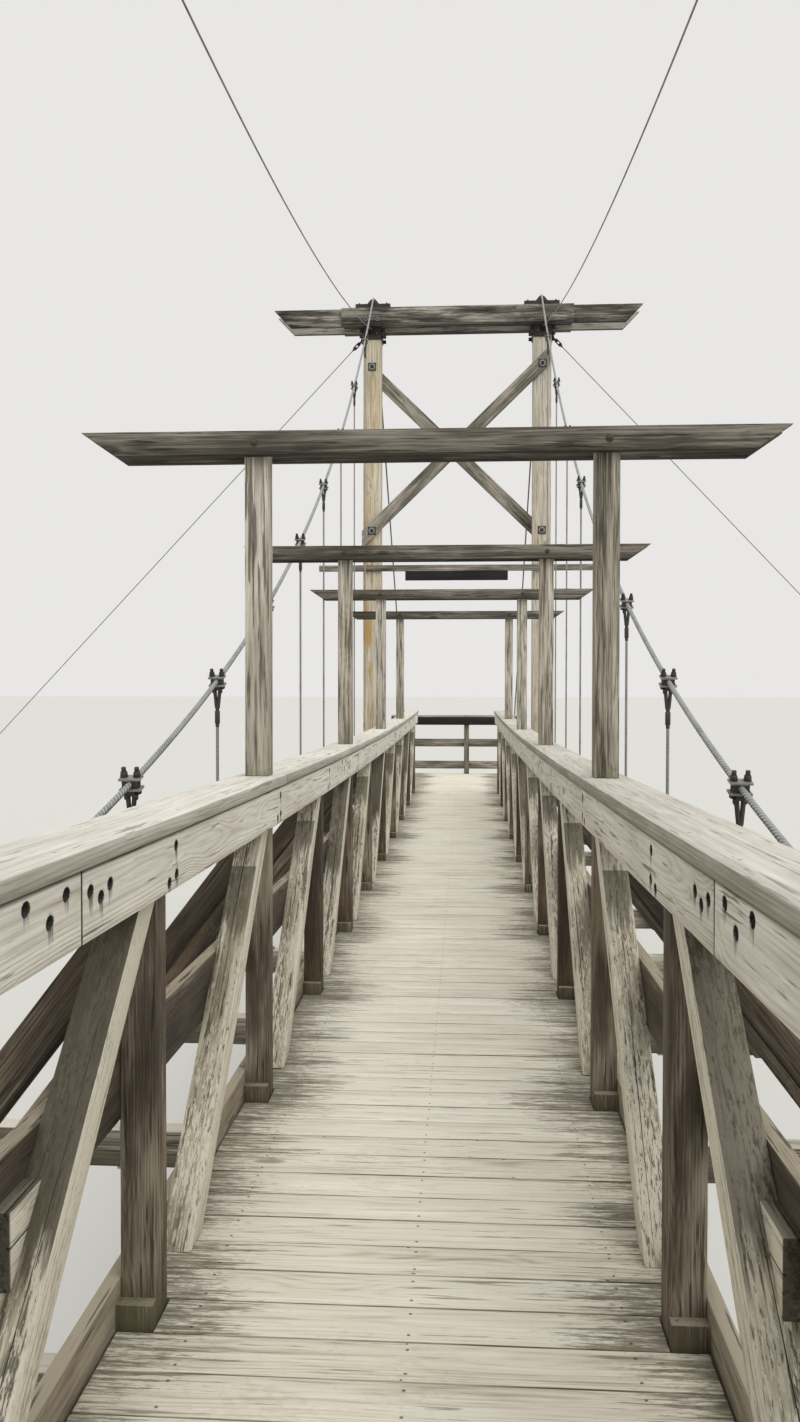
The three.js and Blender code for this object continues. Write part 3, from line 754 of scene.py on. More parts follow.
@dataclass(frozen=True)
class Steelwork:
    """A finish for steel: zinc coat or dark forged parts, with dirt and rust in flecks; ropes also get
    painted shade underneath and in their grooves.
    """

    name: str
    base: str
    grime_and_shade: str
    rough: float = 0.5
    metallic: float = 0.75
    flecks: float = 0.5
    strands: int = 0
    lay_length: float = mm(84)

    def material(self) -> Material:
        """Build the finish's material.

        Returns:
            The material.
        """
        paint = Paint(self.name)
        place = paint.object_place()
        cloud = paint.noise(place, (14.0, 14.0, 14.0), 3.0, 0.6)
        fleck = paint.noise(place, (190.0, 190.0, 190.0), 2.0, 0.6)
        share = (cloud + (fleck - 0.5) * 0.8).fade(0.46, 0.7) * self.flecks
        colour = paint.mix(share, hexed(self.base), hexed(self.grime_and_shade))
        height = fleck * 0.2
        if self.strands:
            level, upright, reach = paint.axes(paint.attribute("rounds").outputs["Vector"])
            twist = 2 * math.pi / self.lay_length
            crown = ((level.angle_from(upright) + reach * twist) * self.strands).sine()
            # Painted shade with dirt on the rope's underside, and painted shade in the grooves between
            # strands, deeper below.
            lower = upright.fade(0.6, -0.5)
            groove_shade = crown.fade(0.5, -0.2) * (0.4 + lower * 0.6)
            colour = paint.mix(lower * 0.5, colour, hexed(self.grime_and_shade))
            colour = paint.mix(groove_shade, colour, hexed("1b1b1a"))
            height = height + crown.fade(-1.0, 1.0)
        return paint.finish(colour, share * 0.25 + self.rough, height, mm(2.5), self.metallic)


@dataclass(frozen=True)
class CastConcrete:
    """A finish for the anchor blocks."""

    name: str

    def material(self) -> Material:
        """Build the finish's material.

        Returns:
            The material.
        """
        paint = Paint(self.name)
        place = paint.object_place()
        cloud = paint.noise(place, (4.0, 4.0, 7.0), 4.0, 0.6)
        sand = paint.noise(place, (240.0, 240.0, 240.0), 2.0, 0.7)
        pores = paint.noise(place, (70.0, 70.0, 70.0), 1.0).fade(0.34, 0.28)
        value = cloud * 0.7 + sand * 0.3
        colour = paint.ramp(value, ((0.3, hexed("6d695f")), (0.55, hexed("9b978c")), (0.75, hexed("b9b5aa"))))
        colour = paint.mix(pores * 0.6, colour, hexed("4b483f"))
        return paint.finish(colour, 0.93, sand * 0.5 + cloud * 0.5 - pores, mm(3))


class Finishes:
    """Every material of the bridge, each made once."""

    def __init__(self) -> None:
        """Make the materials."""
        flat = Rings(mm(7), 0.1, (0.0, mm(85)), (mm(70), mm(30)), mm(60), mm(18))
        self.deck = WeatheredWood(
            "trodden_deck", ("847d69", "e0d9c6", "f3efe3"), flat,
            streaks=0.75, patches=0.7, tone_spread=0.16, cracks=0.24, splits=0.25, knots=0.25, moss=0.14,
            moss_colour="7d7a52", screw_spacing=mm(515), screw_offset=mm(44), trodden=True,
        ).material()
        self.cap = WeatheredWood(
            "bleached_cap", ("8b8575", "b9b5a9", "dddad0"), flat,
            streaks=0.6, patches=0.75, tone_spread=0.5, top_light_and_bleach=0.2, bleached_inboard=-0.12,
            cracks=0.42, splits=0.25, knots=0.2, moss=0.06, screw_spacing=mm(406), screw_offset=mm(52),
            dark_ends=0.8,
        ).material()
        sawn_flat = Rings(mm(4.6), 0.13, (mm(80), 0.0), (mm(30), mm(80)), mm(36), mm(26))
        self.fascia = WeatheredWood(
            "grained_fascia", ("6e6757", "c6c0b2", "e9e5da"), sawn_flat,
            streaks=0.75, patches=0.7, tone_spread=0.5, cracks=0.46, splits=0.2, knots=0.6, moss=0.1,
            pockets=True, dark_ends=0.9, shaded_head=0.85, relief=mm(2),
        ).material()
        post_rings = Rings(mm(8), 0.06)
        self.truss = WeatheredWood(
            "dark_truss", ("251e17", "554b3e", "a39a86"), post_rings,
            streaks=0.5, streak_length=mm(240), patches=1.3, tone_spread=0.4, top_light_and_bleach=0.5,
            bleached_inboard=-0.04, cracks=0.4, splits=0.6, knots=0.5, moss=0.25, stain=0.14,
            stain_colour="7d5028", foot=(mm(150), mm(290)),
        ).material()
        self.diagonal = WeatheredWood(
            "flaking_diagonal", ("433c2d", "938a74", "d6d0be"), post_rings,
            streaks=0.6, streak_length=mm(300), patches=0.8, tone_spread=0.12, bleached_inboard=0.85,
            cracks=0.7, flakes=0.5, splits=1.0, knots=0.4, moss=0.3, moss_colour="6a6749",
            damp=(mm(450), mm(660)), damp_colour="4f4a3b", dark_ends=0.6,
        ).material()
        self.gate_post = WeatheredWood(
            "grey_gate_post", ("4f493c", "aba394", "d7d1c4"), post_rings,
            streaks=1.5, streak_length=mm(420), patches=0.8, cracks=0.75, splits=0.8, knots=0.8, moss=0.08,
            foot=(0.0, mm(60)),
        ).material()
        across_grain = Rings(mm(7), 0.07, (mm(60), 0.0), bend=mm(14))
        beam = WeatheredWood(
            "dark_gate_beam", ("1f1c16", "4e493f", "8f897d"), across_grain,
            streaks=1.1, patches=1.2, cracks=0.5, splits=0.4, knots=0.7, moss=0.12,
        )
        self.gate_beam = beam.material()
        # The wide tone spread makes the back planks pale: painted light on their inner faces.
        self.cap_beam = replace(
            beam, name="tower_cap_beam", shades=("1f1c16", "504b42", "b5b0a4"), patches=1.6, stain=0.5,
            stain_colour="a9a59a", painted_underside_shade=0.6, arris_shade=0.9, tone_spread=1.0,
        ).material()
        self.brace = WeatheredWood(
            "tower_brace", ("35322a", "716c60", "b0aa9c"), across_grain,
            streaks=1.3, patches=1.3, cracks=0.4, splits=0.9, knots=0.3, moss=0.12,
        ).material()
        self.black_board = WeatheredWood(
            "blackened_board", ("0c0b0a", "191815", "302e29"), across_grain, patches=0.9,
        ).material()
        broad = Rings(mm(18), 0.1, (mm(20), mm(30)))
        self.left_leg = WeatheredWood(
            "stained_leg", ("857a60", "d0c7b1", "e8e4d7"), broad,
            streaks=0.8, patches=0.6, cracks=0.45, splits=0.9, knots=0.6, moss=0.08,
            stain=0.95, stain_colour="b27f2e",
        ).material()
        self.right_leg = WeatheredWood(
            "pale_leg", ("766d5b", "bcb4a4", "e0dcd2"), broad,
            streaks=0.9, patches=0.7, cracks=0.5, splits=1.2, knots=0.6, moss=0.08,
            stain=0.3, stain_colour="b59a60",
        ).material()
        self.framing = WeatheredWood(
            "floor_framing_timber", ("332e24", "665f50", "cfc9b9"), post_rings,
            streaks=0.6, patches=0.6, top_light_and_bleach=0.6, cracks=0.35, splits=0.5, knots=0.3, moss=0.2,
        ).material()
        self.galvanised = Steelwork("galvanised_plate", "959590", "67635a", 0.5, 0.55).material()
        self.rope = Steelwork("galvanised_rope", "b2b3b4", "6f6e69", 0.5, 0.4, 0.4, strands=3).material()
        self.wire = Steelwork("thin_wire_rope", "7c7c7e", "4a4843", 0.5, 0.6).material()
        self.forged = Steelwork("dark_forged_steel", "45433f", "2e2a25", 0.55, 0.45).material()
        self.black_steel = Steelwork("blackened_steel", "34322f", "1d1b19", 0.6, 0.3).material()
        self.rusted = Steelwork("rusted_bolt", "5a4838", "2f261f", 0.8, 0.2, 0.8).material()
        self.concrete = CastConcrete("anchor_concrete_cast").material()


@contextmanager
def edit_mode(piece: Object) -> Iterator[None]:
    """Hold one piece in edit mode with all of it selected.

    Args:
        piece: The mesh object.

    Yields:
        Nothing; the mode lasts as long as the with statement.
    """
    bpy.context.view_layer.objects.active = piece
    bpy.ops.object.mode_set(mode="EDIT")
    bpy.ops.mesh.select_all(action="SELECT")
    yield
    bpy.ops.object.mode_set(mode="OBJECT")


def clear_selection() -> None:
    """Deselect all, so that an operator acts only on what comes next."""
    bpy.ops.object.select_all(action="DESELECT")
    bpy.context.view_layer.objects.active = None


def select(piece: Object) -> None:
    """Make a piece the only one that an operator acts on.

    Args:
        piece: The mesh object.
    """
    clear_selection()
    piece.select_set(True)
    bpy.context.view_layer.objects.active = piece


def new_cube() -> Object:
    """A unit cube at the origin, to be shaped in edit mode.

    Returns:
        The cube.
    """
    clear_selection()
    bpy.ops.mesh.primitive_cube_add(size=1, location=(0, 0, 0))
    return bpy.context.view_layer.objects.active


def saw(point: Point, facing: Point, waste: bool = False) -> None:
    """Cut the mesh in edit mode by a plane; the waste, where there is any, lies where the plane faces."""
    bpy.ops.mesh.select_all(action="SELECT")
    bpy.ops.mesh.bisect(plane_co=point, plane_no=facing, use_fill=waste, clear_outer=waste)


def ease(sharpness: float, width: float, segments: int) -> None:
    """Bevel those edges of the mesh in edit mode that are sharper than an angle in degrees.

    Args:
        sharpness: The angle.
        width: The bevel's width.
        segments: Its steps.
    """
    bpy.ops.mesh.select_mode(type="EDGE")
    bpy.ops.mesh.select_all(action="DESELECT")
    bpy.ops.mesh.edges_select_sharp(sharpness=math.radians(sharpness))
    bpy.ops.mesh.bevel(offset=width, segments=segments, affect="EDGES", clamp_overlap=True)
    bpy.ops.mesh.select_mode(type="VERT")


def smooth(piece: Object, angle: float) -> None:
    """Shade a piece smooth, but for its edges over an angle in degrees."""
    select(piece)
    bpy.ops.object.shade_smooth_by_angle(angle=math.radians(angle))


def points_of(mesh: Mesh) -> np.ndarray:
    """The places of a mesh's points, one to a row.

    Args:
        mesh: The mesh.

    Returns:
        An array with three columns.
    """
    places = np.empty(len(mesh.vertices) * 3, np.float32)
    mesh.vertices.foreach_get("co", places)
    return places.reshape(-1, 3)


def store(mesh: Mesh, name: str, values: np.ndarray) -> None:
    """Store a number, or a vector where values has rows, for each point of a mesh.

    Args:
        mesh: The mesh.
        name: The attribute's name.
        values: Its values, in the order of the points.
    """
    kind, key = ("FLOAT", "value") if values.ndim == 1 else ("FLOAT_VECTOR", "vector")
    marks = mesh.attributes.new(name, kind, "POINT")
    marks.data.foreach_set(key, values.astype(np.float32).reshape(-1))


def join(name: str, pieces: Sequence[Object]) -> Object:
    """Join objects into one.

    Args:
        name: Name of the result.
        pieces: Mesh objects.

    Returns:
        The joined object, at the origin.
    """
    clear_selection()
    for piece in pieces:
        piece.select_set(True)
    bpy.context.view_layer.objects.active = pieces[0]
    if len(pieces) > 1:
        bpy.ops.object.join()
    whole = bpy.context.view_layer.objects.active
    whole.name = name
    whole.data.name = name
    clear_selection()
    return whole


def place_mesh(mesh: Mesh, matrix: Matrix) -> Object:
    """Put a copy of a pattern's mesh into the scene, with its place in the mesh.

    Args:
        mesh: The pattern.
        matrix: Its place in the frame.

    Returns:
        The copy.
    """
    copy = mesh.copy()
    copy.transform(matrix)
    piece = bpy.data.objects.new(mesh.name, copy)
    bpy.context.scene.collection.objects.link(piece)
    return piece


def standing(origin: Point, along: Vector, up: Vector = UP) -> Matrix:
    """The place of a timber.

    Args:
        origin: Where its middle goes.
        along: The way its length runs.
        up: The way its depth faces.

    Returns:
        The matrix from the timber's own axes to the frame.
    """
    first = along.normalized()
    third = (up - first * up.dot(first)).normalized()
    second = third.cross(first)
    turn = Matrix((first, second, third)).transposed().to_4x4()
    return Matrix.Translation(origin) @ turn


@dataclass(frozen=True)
class Cut:
    """A saw cut: what lies on the side that it faces goes."""

    point: Point
    facing: Point


def slanted_ends(half_top: float, half_bottom: float, depth: float) -> tuple[Cut, Cut]:
    """The end cuts of a beam that is longer at its top than at its bottom.

    Args:
        half_top: Half its length at the top.
        half_bottom: Half its length at the bottom.
        depth: Its depth.

    Returns:
        The cuts of both ends, in the beam's own axes.
    """
    slant = Vector((depth, 0.0, half_bottom - half_top)).normalized()
    middle = (half_top + half_bottom) / 2
    facing = (round(slant.x, 6), 0.0, round(slant.z, 6))
    return tuple(Cut((way * middle, 0.0, 0.0), (way * facing[0], 0.0, facing[2])) for way in (1, -1))


@dataclass(frozen=True)
class Lean:
    """A timber that leans in an upright plane, given by run and height."""

    low: Pair
    high: Pair

    @property
    def length(self) -> float:
        """Distance between its two centre points."""
        return math.dist(self.low, self.high)

    def _split(self, run: float, rise: float) -> Pair:
        """A step in the plane as parts along and square to the timber.

        Args:
            run: The step's level part.
            rise: Its upright part.

        Returns:
            Both parts.
        """
        cos = (self.high[0] - self.low[0]) / self.length
        sin = (self.high[1] - self.low[1]) / self.length
        return run * cos + rise * sin, rise * cos - run * sin

    def cut(self, at: Pair, facing: Pair) -> Cut:
        """A cut given in the plane.

        Args:
            at: A point of the cut.
            facing: The way towards the waste.

        Returns:
            The cut in the timber's own axes.
        """
        middle = ((self.low[0] + self.high[0]) / 2, (self.low[1] + self.high[1]) / 2)
        along, square = self._split(at[0] - middle[0], at[1] - middle[1])
        normal = self._split(*facing)
        return Cut((round(along, 6), 0.0, round(square, 6)), (round(normal[0], 6), 0.0, round(normal[1], 6)))

    def matrix(self, origin: Vector, run: Vector) -> Matrix:
        """Its place in the frame, where origin is the plane's zero and run its level axis.

        Args:
            origin: The plane's zero.
            run: The plane's level axis.

        Returns:
            The matrix from the timber's own axes to the frame.
        """
        middle = origin + run * ((self.low[0] + self.high[0]) / 2) + UP * ((self.low[1] + self.high[1]) / 2)
        along = run * (self.high[0] - self.low[0]) + UP * (self.high[1] - self.low[1])
        return standing(middle, along)


@dataclass
class Sawmill:
    """Saws one of each timber and lays copies, each with its own tone."""

    seed: int = 11
    wander: float = mm(0.9)
    patterns: dict[tuple, Mesh] = field(default_factory=dict)

    def __post_init__(self) -> None:
        """Start the seeded choice of tones."""
        self.choice = np.random.default_rng(self.seed)

    def timber(
        self,
        length: float,
        width: float,
        depth: float,
        cuts: Sequence[Cut] = (),
        arris: float = mm(4),
        holes: Sequence[Pair] = (),
        variant: int = 0,
    ) -> Mesh:
        """A timber's pattern, sawn once.

        Args:
            length: Size along its own X axis.
            width: Size along Y.
            depth: Size along Z.
            cuts: Saw cuts beyond the square ends.
            arris: Width of the worn edges.
            holes: Bolt holes in the +Y face, as (along, up) places.
            variant: Another number gives the same timber with other unevenness.

        Returns:
            The pattern's mesh.
        """
        key = (round(length, 5), round(width, 5), round(depth, 5), tuple(cuts), arris, tuple(holes), variant)
        if key not in self.patterns:
            self.patterns[key] = self._saw(length, width, depth, cuts, arris, holes, variant)
        return self.patterns[key]

    def _saw(
        self, length: float, width: float, depth: float, cuts: Sequence[Cut], arris: float,
        holes: Sequence[Pair], variant: int,
    ) -> Mesh:
        """Make a pattern from a cube: sized, cut, divided, made uneven and eased at its edges.

        Args:
            length: Size along its own X axis.
            width: Size along Y.
            depth: Size along Z.
            cuts: Saw cuts beyond the square ends.
            arris: Width of the worn edges.
            holes: Bolt holes, as (along, up) places.
            variant: Number of its unevenness.

        Returns:
            The pattern's mesh.
        """
        piece = new_cube()
        steps = max(2, min(12, round(length / mm(420))))
        with edit_mode(piece):
            bpy.ops.transform.resize(value=(length, width, depth))
            for cut in cuts:
                saw(cut.point, cut.facing, waste=True)
            for step in range(1, steps):
                saw((length * (step / steps - 0.5), 0, 0), (1, 0, 0))
            bpy.ops.mesh.select_all(action="SELECT")
            bpy.ops.transform.vertex_random(offset=self.wander, seed=variant + len(self.patterns) % 50)
            ease(35, arris, 2)
        if holes:
            self._divide_round(piece, holes)
            self._bore(piece, holes, width / 2)
        smooth(piece, 32)
        mesh = piece.data
        places = points_of(mesh)
        store(mesh, "grain", places)
        store(mesh, "half", np.tile(np.array((length, width, depth)) / 2, (len(places), 1)))
        if holes:
            store(mesh, "rust", self._rust(places, holes, width / 2))
        mesh.use_fake_user = True
        bpy.data.objects.remove(piece)
        return mesh

    @staticmethod
    def _divide_round(piece: Object, holes: Sequence[Pair]) -> None:
        """Add lines round the bolt holes, whose points carry the rust.

        Args:
            piece: The mesh object.
            holes: Bolt holes, as (along, up) places.
        """
        reach = mm(24)
        steps = (-reach, -reach / 3, reach / 3, reach)
        with edit_mode(piece):
            for place in sorted({round(along + step, 5) for along, _ in holes for step in steps}):
                saw((place, 0, 0), (1, 0, 0))
            for level in range(-2, 3):
                saw((0, 0, level * mm(23)), (0, 0, 1))

    @staticmethod
    def _rust(places: np.ndarray, holes: Sequence[Pair], face: float) -> np.ndarray:
        """How much rust has run down from the holes at each point.

        Args:
            places: The points' places.
            holes: Bolt holes, as (along, up) places.
            face: Place of the bored face along Y.

        Returns:
            A share from 0 to 1 for each point.
        """
        x, y, z = places.T
        rust = np.zeros(len(places), np.float32)
        for along, up in holes:
            beside = np.clip(1 - (np.abs(x - along) - mm(8)) / mm(16), 0, 1)
            below = np.clip(1 - (up - z) / mm(80), 0, 1)
            above = np.clip(1 - (z - up) / mm(34), 0, 1)
            rust = np.maximum(rust, beside * np.where(z > up, above, below))
        rust[y < face - mm(16)] = 0
        return rust

    @staticmethod
    def _bore(piece: Object, holes: Sequence[Pair], face: float) -> None:
        """Sink counterbored bolt holes into the +Y face with a boolean cut.

        Args:
            piece: The mesh object.
            holes: Bolt holes, as (along, up) places.
            face: Place of the bored face along Y.
        """
        cutters = []
        for along, up in holes:
            clear_selection()
            bpy.ops.mesh.primitive_cylinder_add(
                vertices=12, radius=mm(15), depth=mm(26), location=(along, face, up),
                rotation=(math.pi / 2, 0, 0))
            hole = bpy.context.view_layer.objects.active
            with edit_mode(hole):
                bpy.ops.transform.resize(value=(1.25, 1, 0.95))
            cutters.append(hole)
        cutter = join("bolt_hole_cutter", cutters)
        with edit_mode(cutter):
            bpy.ops.mesh.normals_make_consistent(inside=False)
        select(piece)
        cut = piece.modifiers.new("bolt_holes", "BOOLEAN")
        cut.object = cutter
        cut.operation = "DIFFERENCE"
        bpy.ops.object.modifier_apply(modifier=cut.name)
        bpy.data.objects.remove(cutter)

    def lay(
        self, pattern: Mesh, matrix: Matrix, tone: float | None = None, finish: Material | None = None
    ) -> Object:
        """Lay a copy of a pattern.

        Args:
            pattern: What timber() gave.
            matrix: Its place in the frame.
            tone: Its tone from 0 to 1, or None for one by chance.
            finish: Its own finish, where the piece it goes into has more than one.

        Returns:
            The timber.
        """
        piece = place_mesh(pattern, matrix)
        mark = float(self.choice.random()) if tone is None else tone
        store(piece.data, "tone", np.full(len(piece.data.vertices), mark))
        if finish is not None:
            piece.data.materials.append(finish)
        return piece


MILL = Sawmill()


def camber(piece: Object) -> None:
    """Lift a piece that was built over a level deck onto the deck's own profile.

    Args:
        piece: The mesh object.
    """
    places = points_of(piece.data)
    stations = np.arange(-LAYOUT.half_panels - 1, LAYOUT.half_panels + 2)
    levels = [LAYOUT.level(float(station)) for station in stations]
    places[:, 2] += np.interp(places[:, 1], stations * LAYOUT.panel, levels)
    piece.data.vertices.foreach_set("co", places.reshape(-1))
    piece.data.update()


def settle(
    name: str,
    parts: Sequence[Object],
    finish: Material | None,
    slot: str,
    *nodes: str,
    cambered: bool = False,
) -> None:
    """Join parts into one finished piece.

    Args:
        name: The piece's name.
        parts: Its parts, in their places.
        finish: Its material, or None where its parts have their own.
        slot: Its slot; not used.
        nodes: The nodes that it stands for.
        cambered: Lifts it from a level deck onto the deck's own profile.
    """
    piece = join(name, parts)
    if cambered:
        camber(piece)
    if finish is not None:
        piece.data.materials.clear()
        piece.data.materials.append(finish)
    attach(piece, "root")
    if nodes:
        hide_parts(*nodes)
    LOG.info("%s: %d faces", piece.name, len(piece.data.polygons))


@dataclass
class Forge:
    """Makes steel parts from primitives, with eased edges."""

    arris: float = mm(1.5)

    def _ease(self, piece: Object, finish: Material) -> Object:
        """Bevel the sharp edges and give the part its finish.

        Args:
            piece: The mesh object.
            finish: Its finish.

        Returns:
            The same object.
        """
        with edit_mode(piece):
            ease(50, self.arris, 1)
        piece.data.materials.append(finish)
        smooth(piece, 40)
        return piece

    def block(self, size: Point, centre: Point, finish: Material, cuts: Sequence[Cut] = ()) -> Object:
        """A plate or block of a size at a centre, with saw cuts given in place.

        Args:
            size: Its sides.
            centre: Its middle.
            finish: Its finish.
            cuts: Its saw cuts.

        Returns:
            The block.
        """
        piece = new_cube()
        with edit_mode(piece):
            bpy.ops.transform.resize(value=size)
            bpy.ops.transform.translate(value=centre)
            for cut in cuts:
                saw(cut.point, cut.facing, waste=True)
        return self._ease(piece, finish)

    def bar(
        self, radius: float, start: Point, stop: Point, finish: Material, sides: int = 10, taper: float = 1.0
    ) -> Object:
        """A round or many-sided bar between two points; taper is the far end's share of the radius.

        Args:
            radius: Its radius at the start.
            start: Middle of its first end.
            stop: Middle of its far end.
            finish: Its finish.
            sides: How many sides it has.
            taper: What is left of the radius at the far end.

        Returns:
            The bar.
        """
        line = Vector(stop) - Vector(start)
        clear_selection()
        bpy.ops.mesh.primitive_cone_add(
            vertices=sides, radius1=radius, radius2=radius * taper, depth=line.length, location=(0, 0, 0))
        piece = bpy.context.view_layer.objects.active
        turn = UP.rotation_difference(line.normalized()).to_matrix().to_4x4()
        middle = (Vector(start) + Vector(stop)) / 2
        piece.data.transform(Matrix.Translation(middle) @ turn)
        return self._ease(piece, finish)

    @staticmethod
    def pattern(name: str, parts: Sequence[Object]) -> Mesh:
        """Join parts into one mesh that is kept without an object.

        Args:
            name: The pattern's name.
            parts: The parts, in their places.

        Returns:
            The mesh.
        """
        whole = join(name, parts)
        mesh = whole.data
        mesh.use_fake_user = True
        bpy.data.objects.remove(whole)
        return mesh

    def fitting(self, name: str, *parts: tuple) -> Mesh:
        """Make a pattern of blocks and bars, given in real millimetres.

        Args:
            name: The pattern's name.
            parts: Blocks as (finish, size, centre) and bars as (finish, radius, start, stop, sides),
                with a taper after the sides where there is one.

        Returns:
            The pattern's mesh.
        """
        made = []
        for finish, size, place, *rest in parts:
            if rest:
                made.append(self.bar(mm(size), in_metres(place), in_metres(rest[0]), finish, *rest[1:]))
            else:
                made.append(self.block(in_metres(size), in_metres(place), finish))
        return self.pattern(name, made)


FORGE = Forge()


@dataclass
class DeckBoards:
    """Cross boards, ten to a panel, with a short one where each pair of verticals stands."""

    finishes: Finishes
    pitch: float = mm(146)
    board_width: float = mm(143)
    middle_width: float = mm(101)
    last_width: float = mm(88)
    thickness: float = mm(38)
    long_half: float = mm(687)
    short_half: float = mm(600)
    short_shift: float = mm(19)
    per_panel: int = 10

    def build(self) -> None:
        """Lay both halves of the deck and its end boards."""
        boards = []
        for end in End:
            for index in range(LAYOUT.half_panels + 1):
                boards += self._panel(index, end)
        settle("deck_boards", boards, self.finishes.deck, "deck_timber", "deck", cambered=True)

    def _panel(self, index: int, end: End) -> list[Object]:
        """Boards from one panel point towards the tower, or past it.

        Args:
            index: The panel point, from mid-span.
            end: The end of the bridge.

        Returns:
            The boards.
        """
        start = index * LAYOUT.panel - self.short_shift
        boards = []
        if index or end is End.FAR:
            boards.append(self._board(start, self.short_half, self.board_width, end))
        if index == LAYOUT.half_panels:
            place = start + self.pitch - (self.board_width - self.last_width) / 2
            return [*boards, self._board(place, self.long_half, self.last_width, end)]
        for step in range(1, self.per_panel):
            width = self.board_width
            place = start + step * self.pitch
            if index == 0 and end is End.NEAR and step == 1:
                width = self.middle_width
                place += (self.board_width - width) / 2
            boards.append(self._board(place, self.long_half, width, end))
        return boards

    def _board(self, y: float, half: float, width: float, end: End) -> Object:
        """One board, a little out of level, line and length.

        Args:
            y: Its distance from mid-span.
            half: Half its length.
            width: Its width, before it varies.
            end: The end of the bridge.

        Returns:
            The board.
        """
        jitter = MILL.choice.uniform(-1, 1, 3)
        kind = int(MILL.choice.integers(4))
        width += (kind - 2) * mm(0.9)
        pattern = MILL.timber(2 * half, width, self.thickness, arris=mm(3), variant=kind)
        level = -self.thickness / 2 - mm(0.8) + jitter[1] * mm(0.7)
        centre = (jitter[0] * mm(1.4), y + jitter[2] * mm(0.5), level)
        skew = Matrix.Rotation(jitter[2] * 0.0009, 4, "Z")
        return MILL.lay(pattern, end.turn @ standing(centre, ACROSS) @ skew)


@dataclass
class FloorFraming:
    """Stringers under the boards, and cross beams whose ends carry the hangers and outriggers."""

    finishes: Finishes
    stringer_width: float = mm(88)
    stringer_centres: tuple[float, ...] = (mm(-515), 0.0, mm(515))
    beam_width: float = mm(82)
    beam_half: float = mm(1700)
    beam_half_at_tower: float = mm(1096)
    top: float = mm(-39)

    def build(self) -> None:
        """Lay the stringers and beams."""
        timbers = []
        depth = LAYOUT.beam_drop + self.top
        stringer = MILL.timber(2 * LAYOUT.panel - mm(6), self.stringer_width, depth)
        for x in self.stringer_centres:
            for step in range(LAYOUT.half_panels):
                y = (2 * step + 1 - LAYOUT.half_panels) * LAYOUT.panel
                centre = (x, y, self.top - depth / 2)
                timbers.append(MILL.lay(stringer, standing(centre, ALONG)))
        for index in range(-LAYOUT.half_panels, LAYOUT.half_panels + 1):
            at_tower = abs(index) == LAYOUT.half_panels
            half = self.beam_half_at_tower if at_tower else self.beam_half
            beam = MILL.timber(2 * half, self.beam_width, LAYOUT.beam_depth, variant=index % 2)
            centre = (0.0, index * LAYOUT.panel, -LAYOUT.beam_drop - LAYOUT.beam_depth / 2)
            timbers.append(MILL.lay(beam, standing(centre, ACROSS)))
        settle(
            "floor_beams_and_stringers", timbers, self.finishes.framing, "frame_timber", "floor_framing",
            cambered=True,
        )


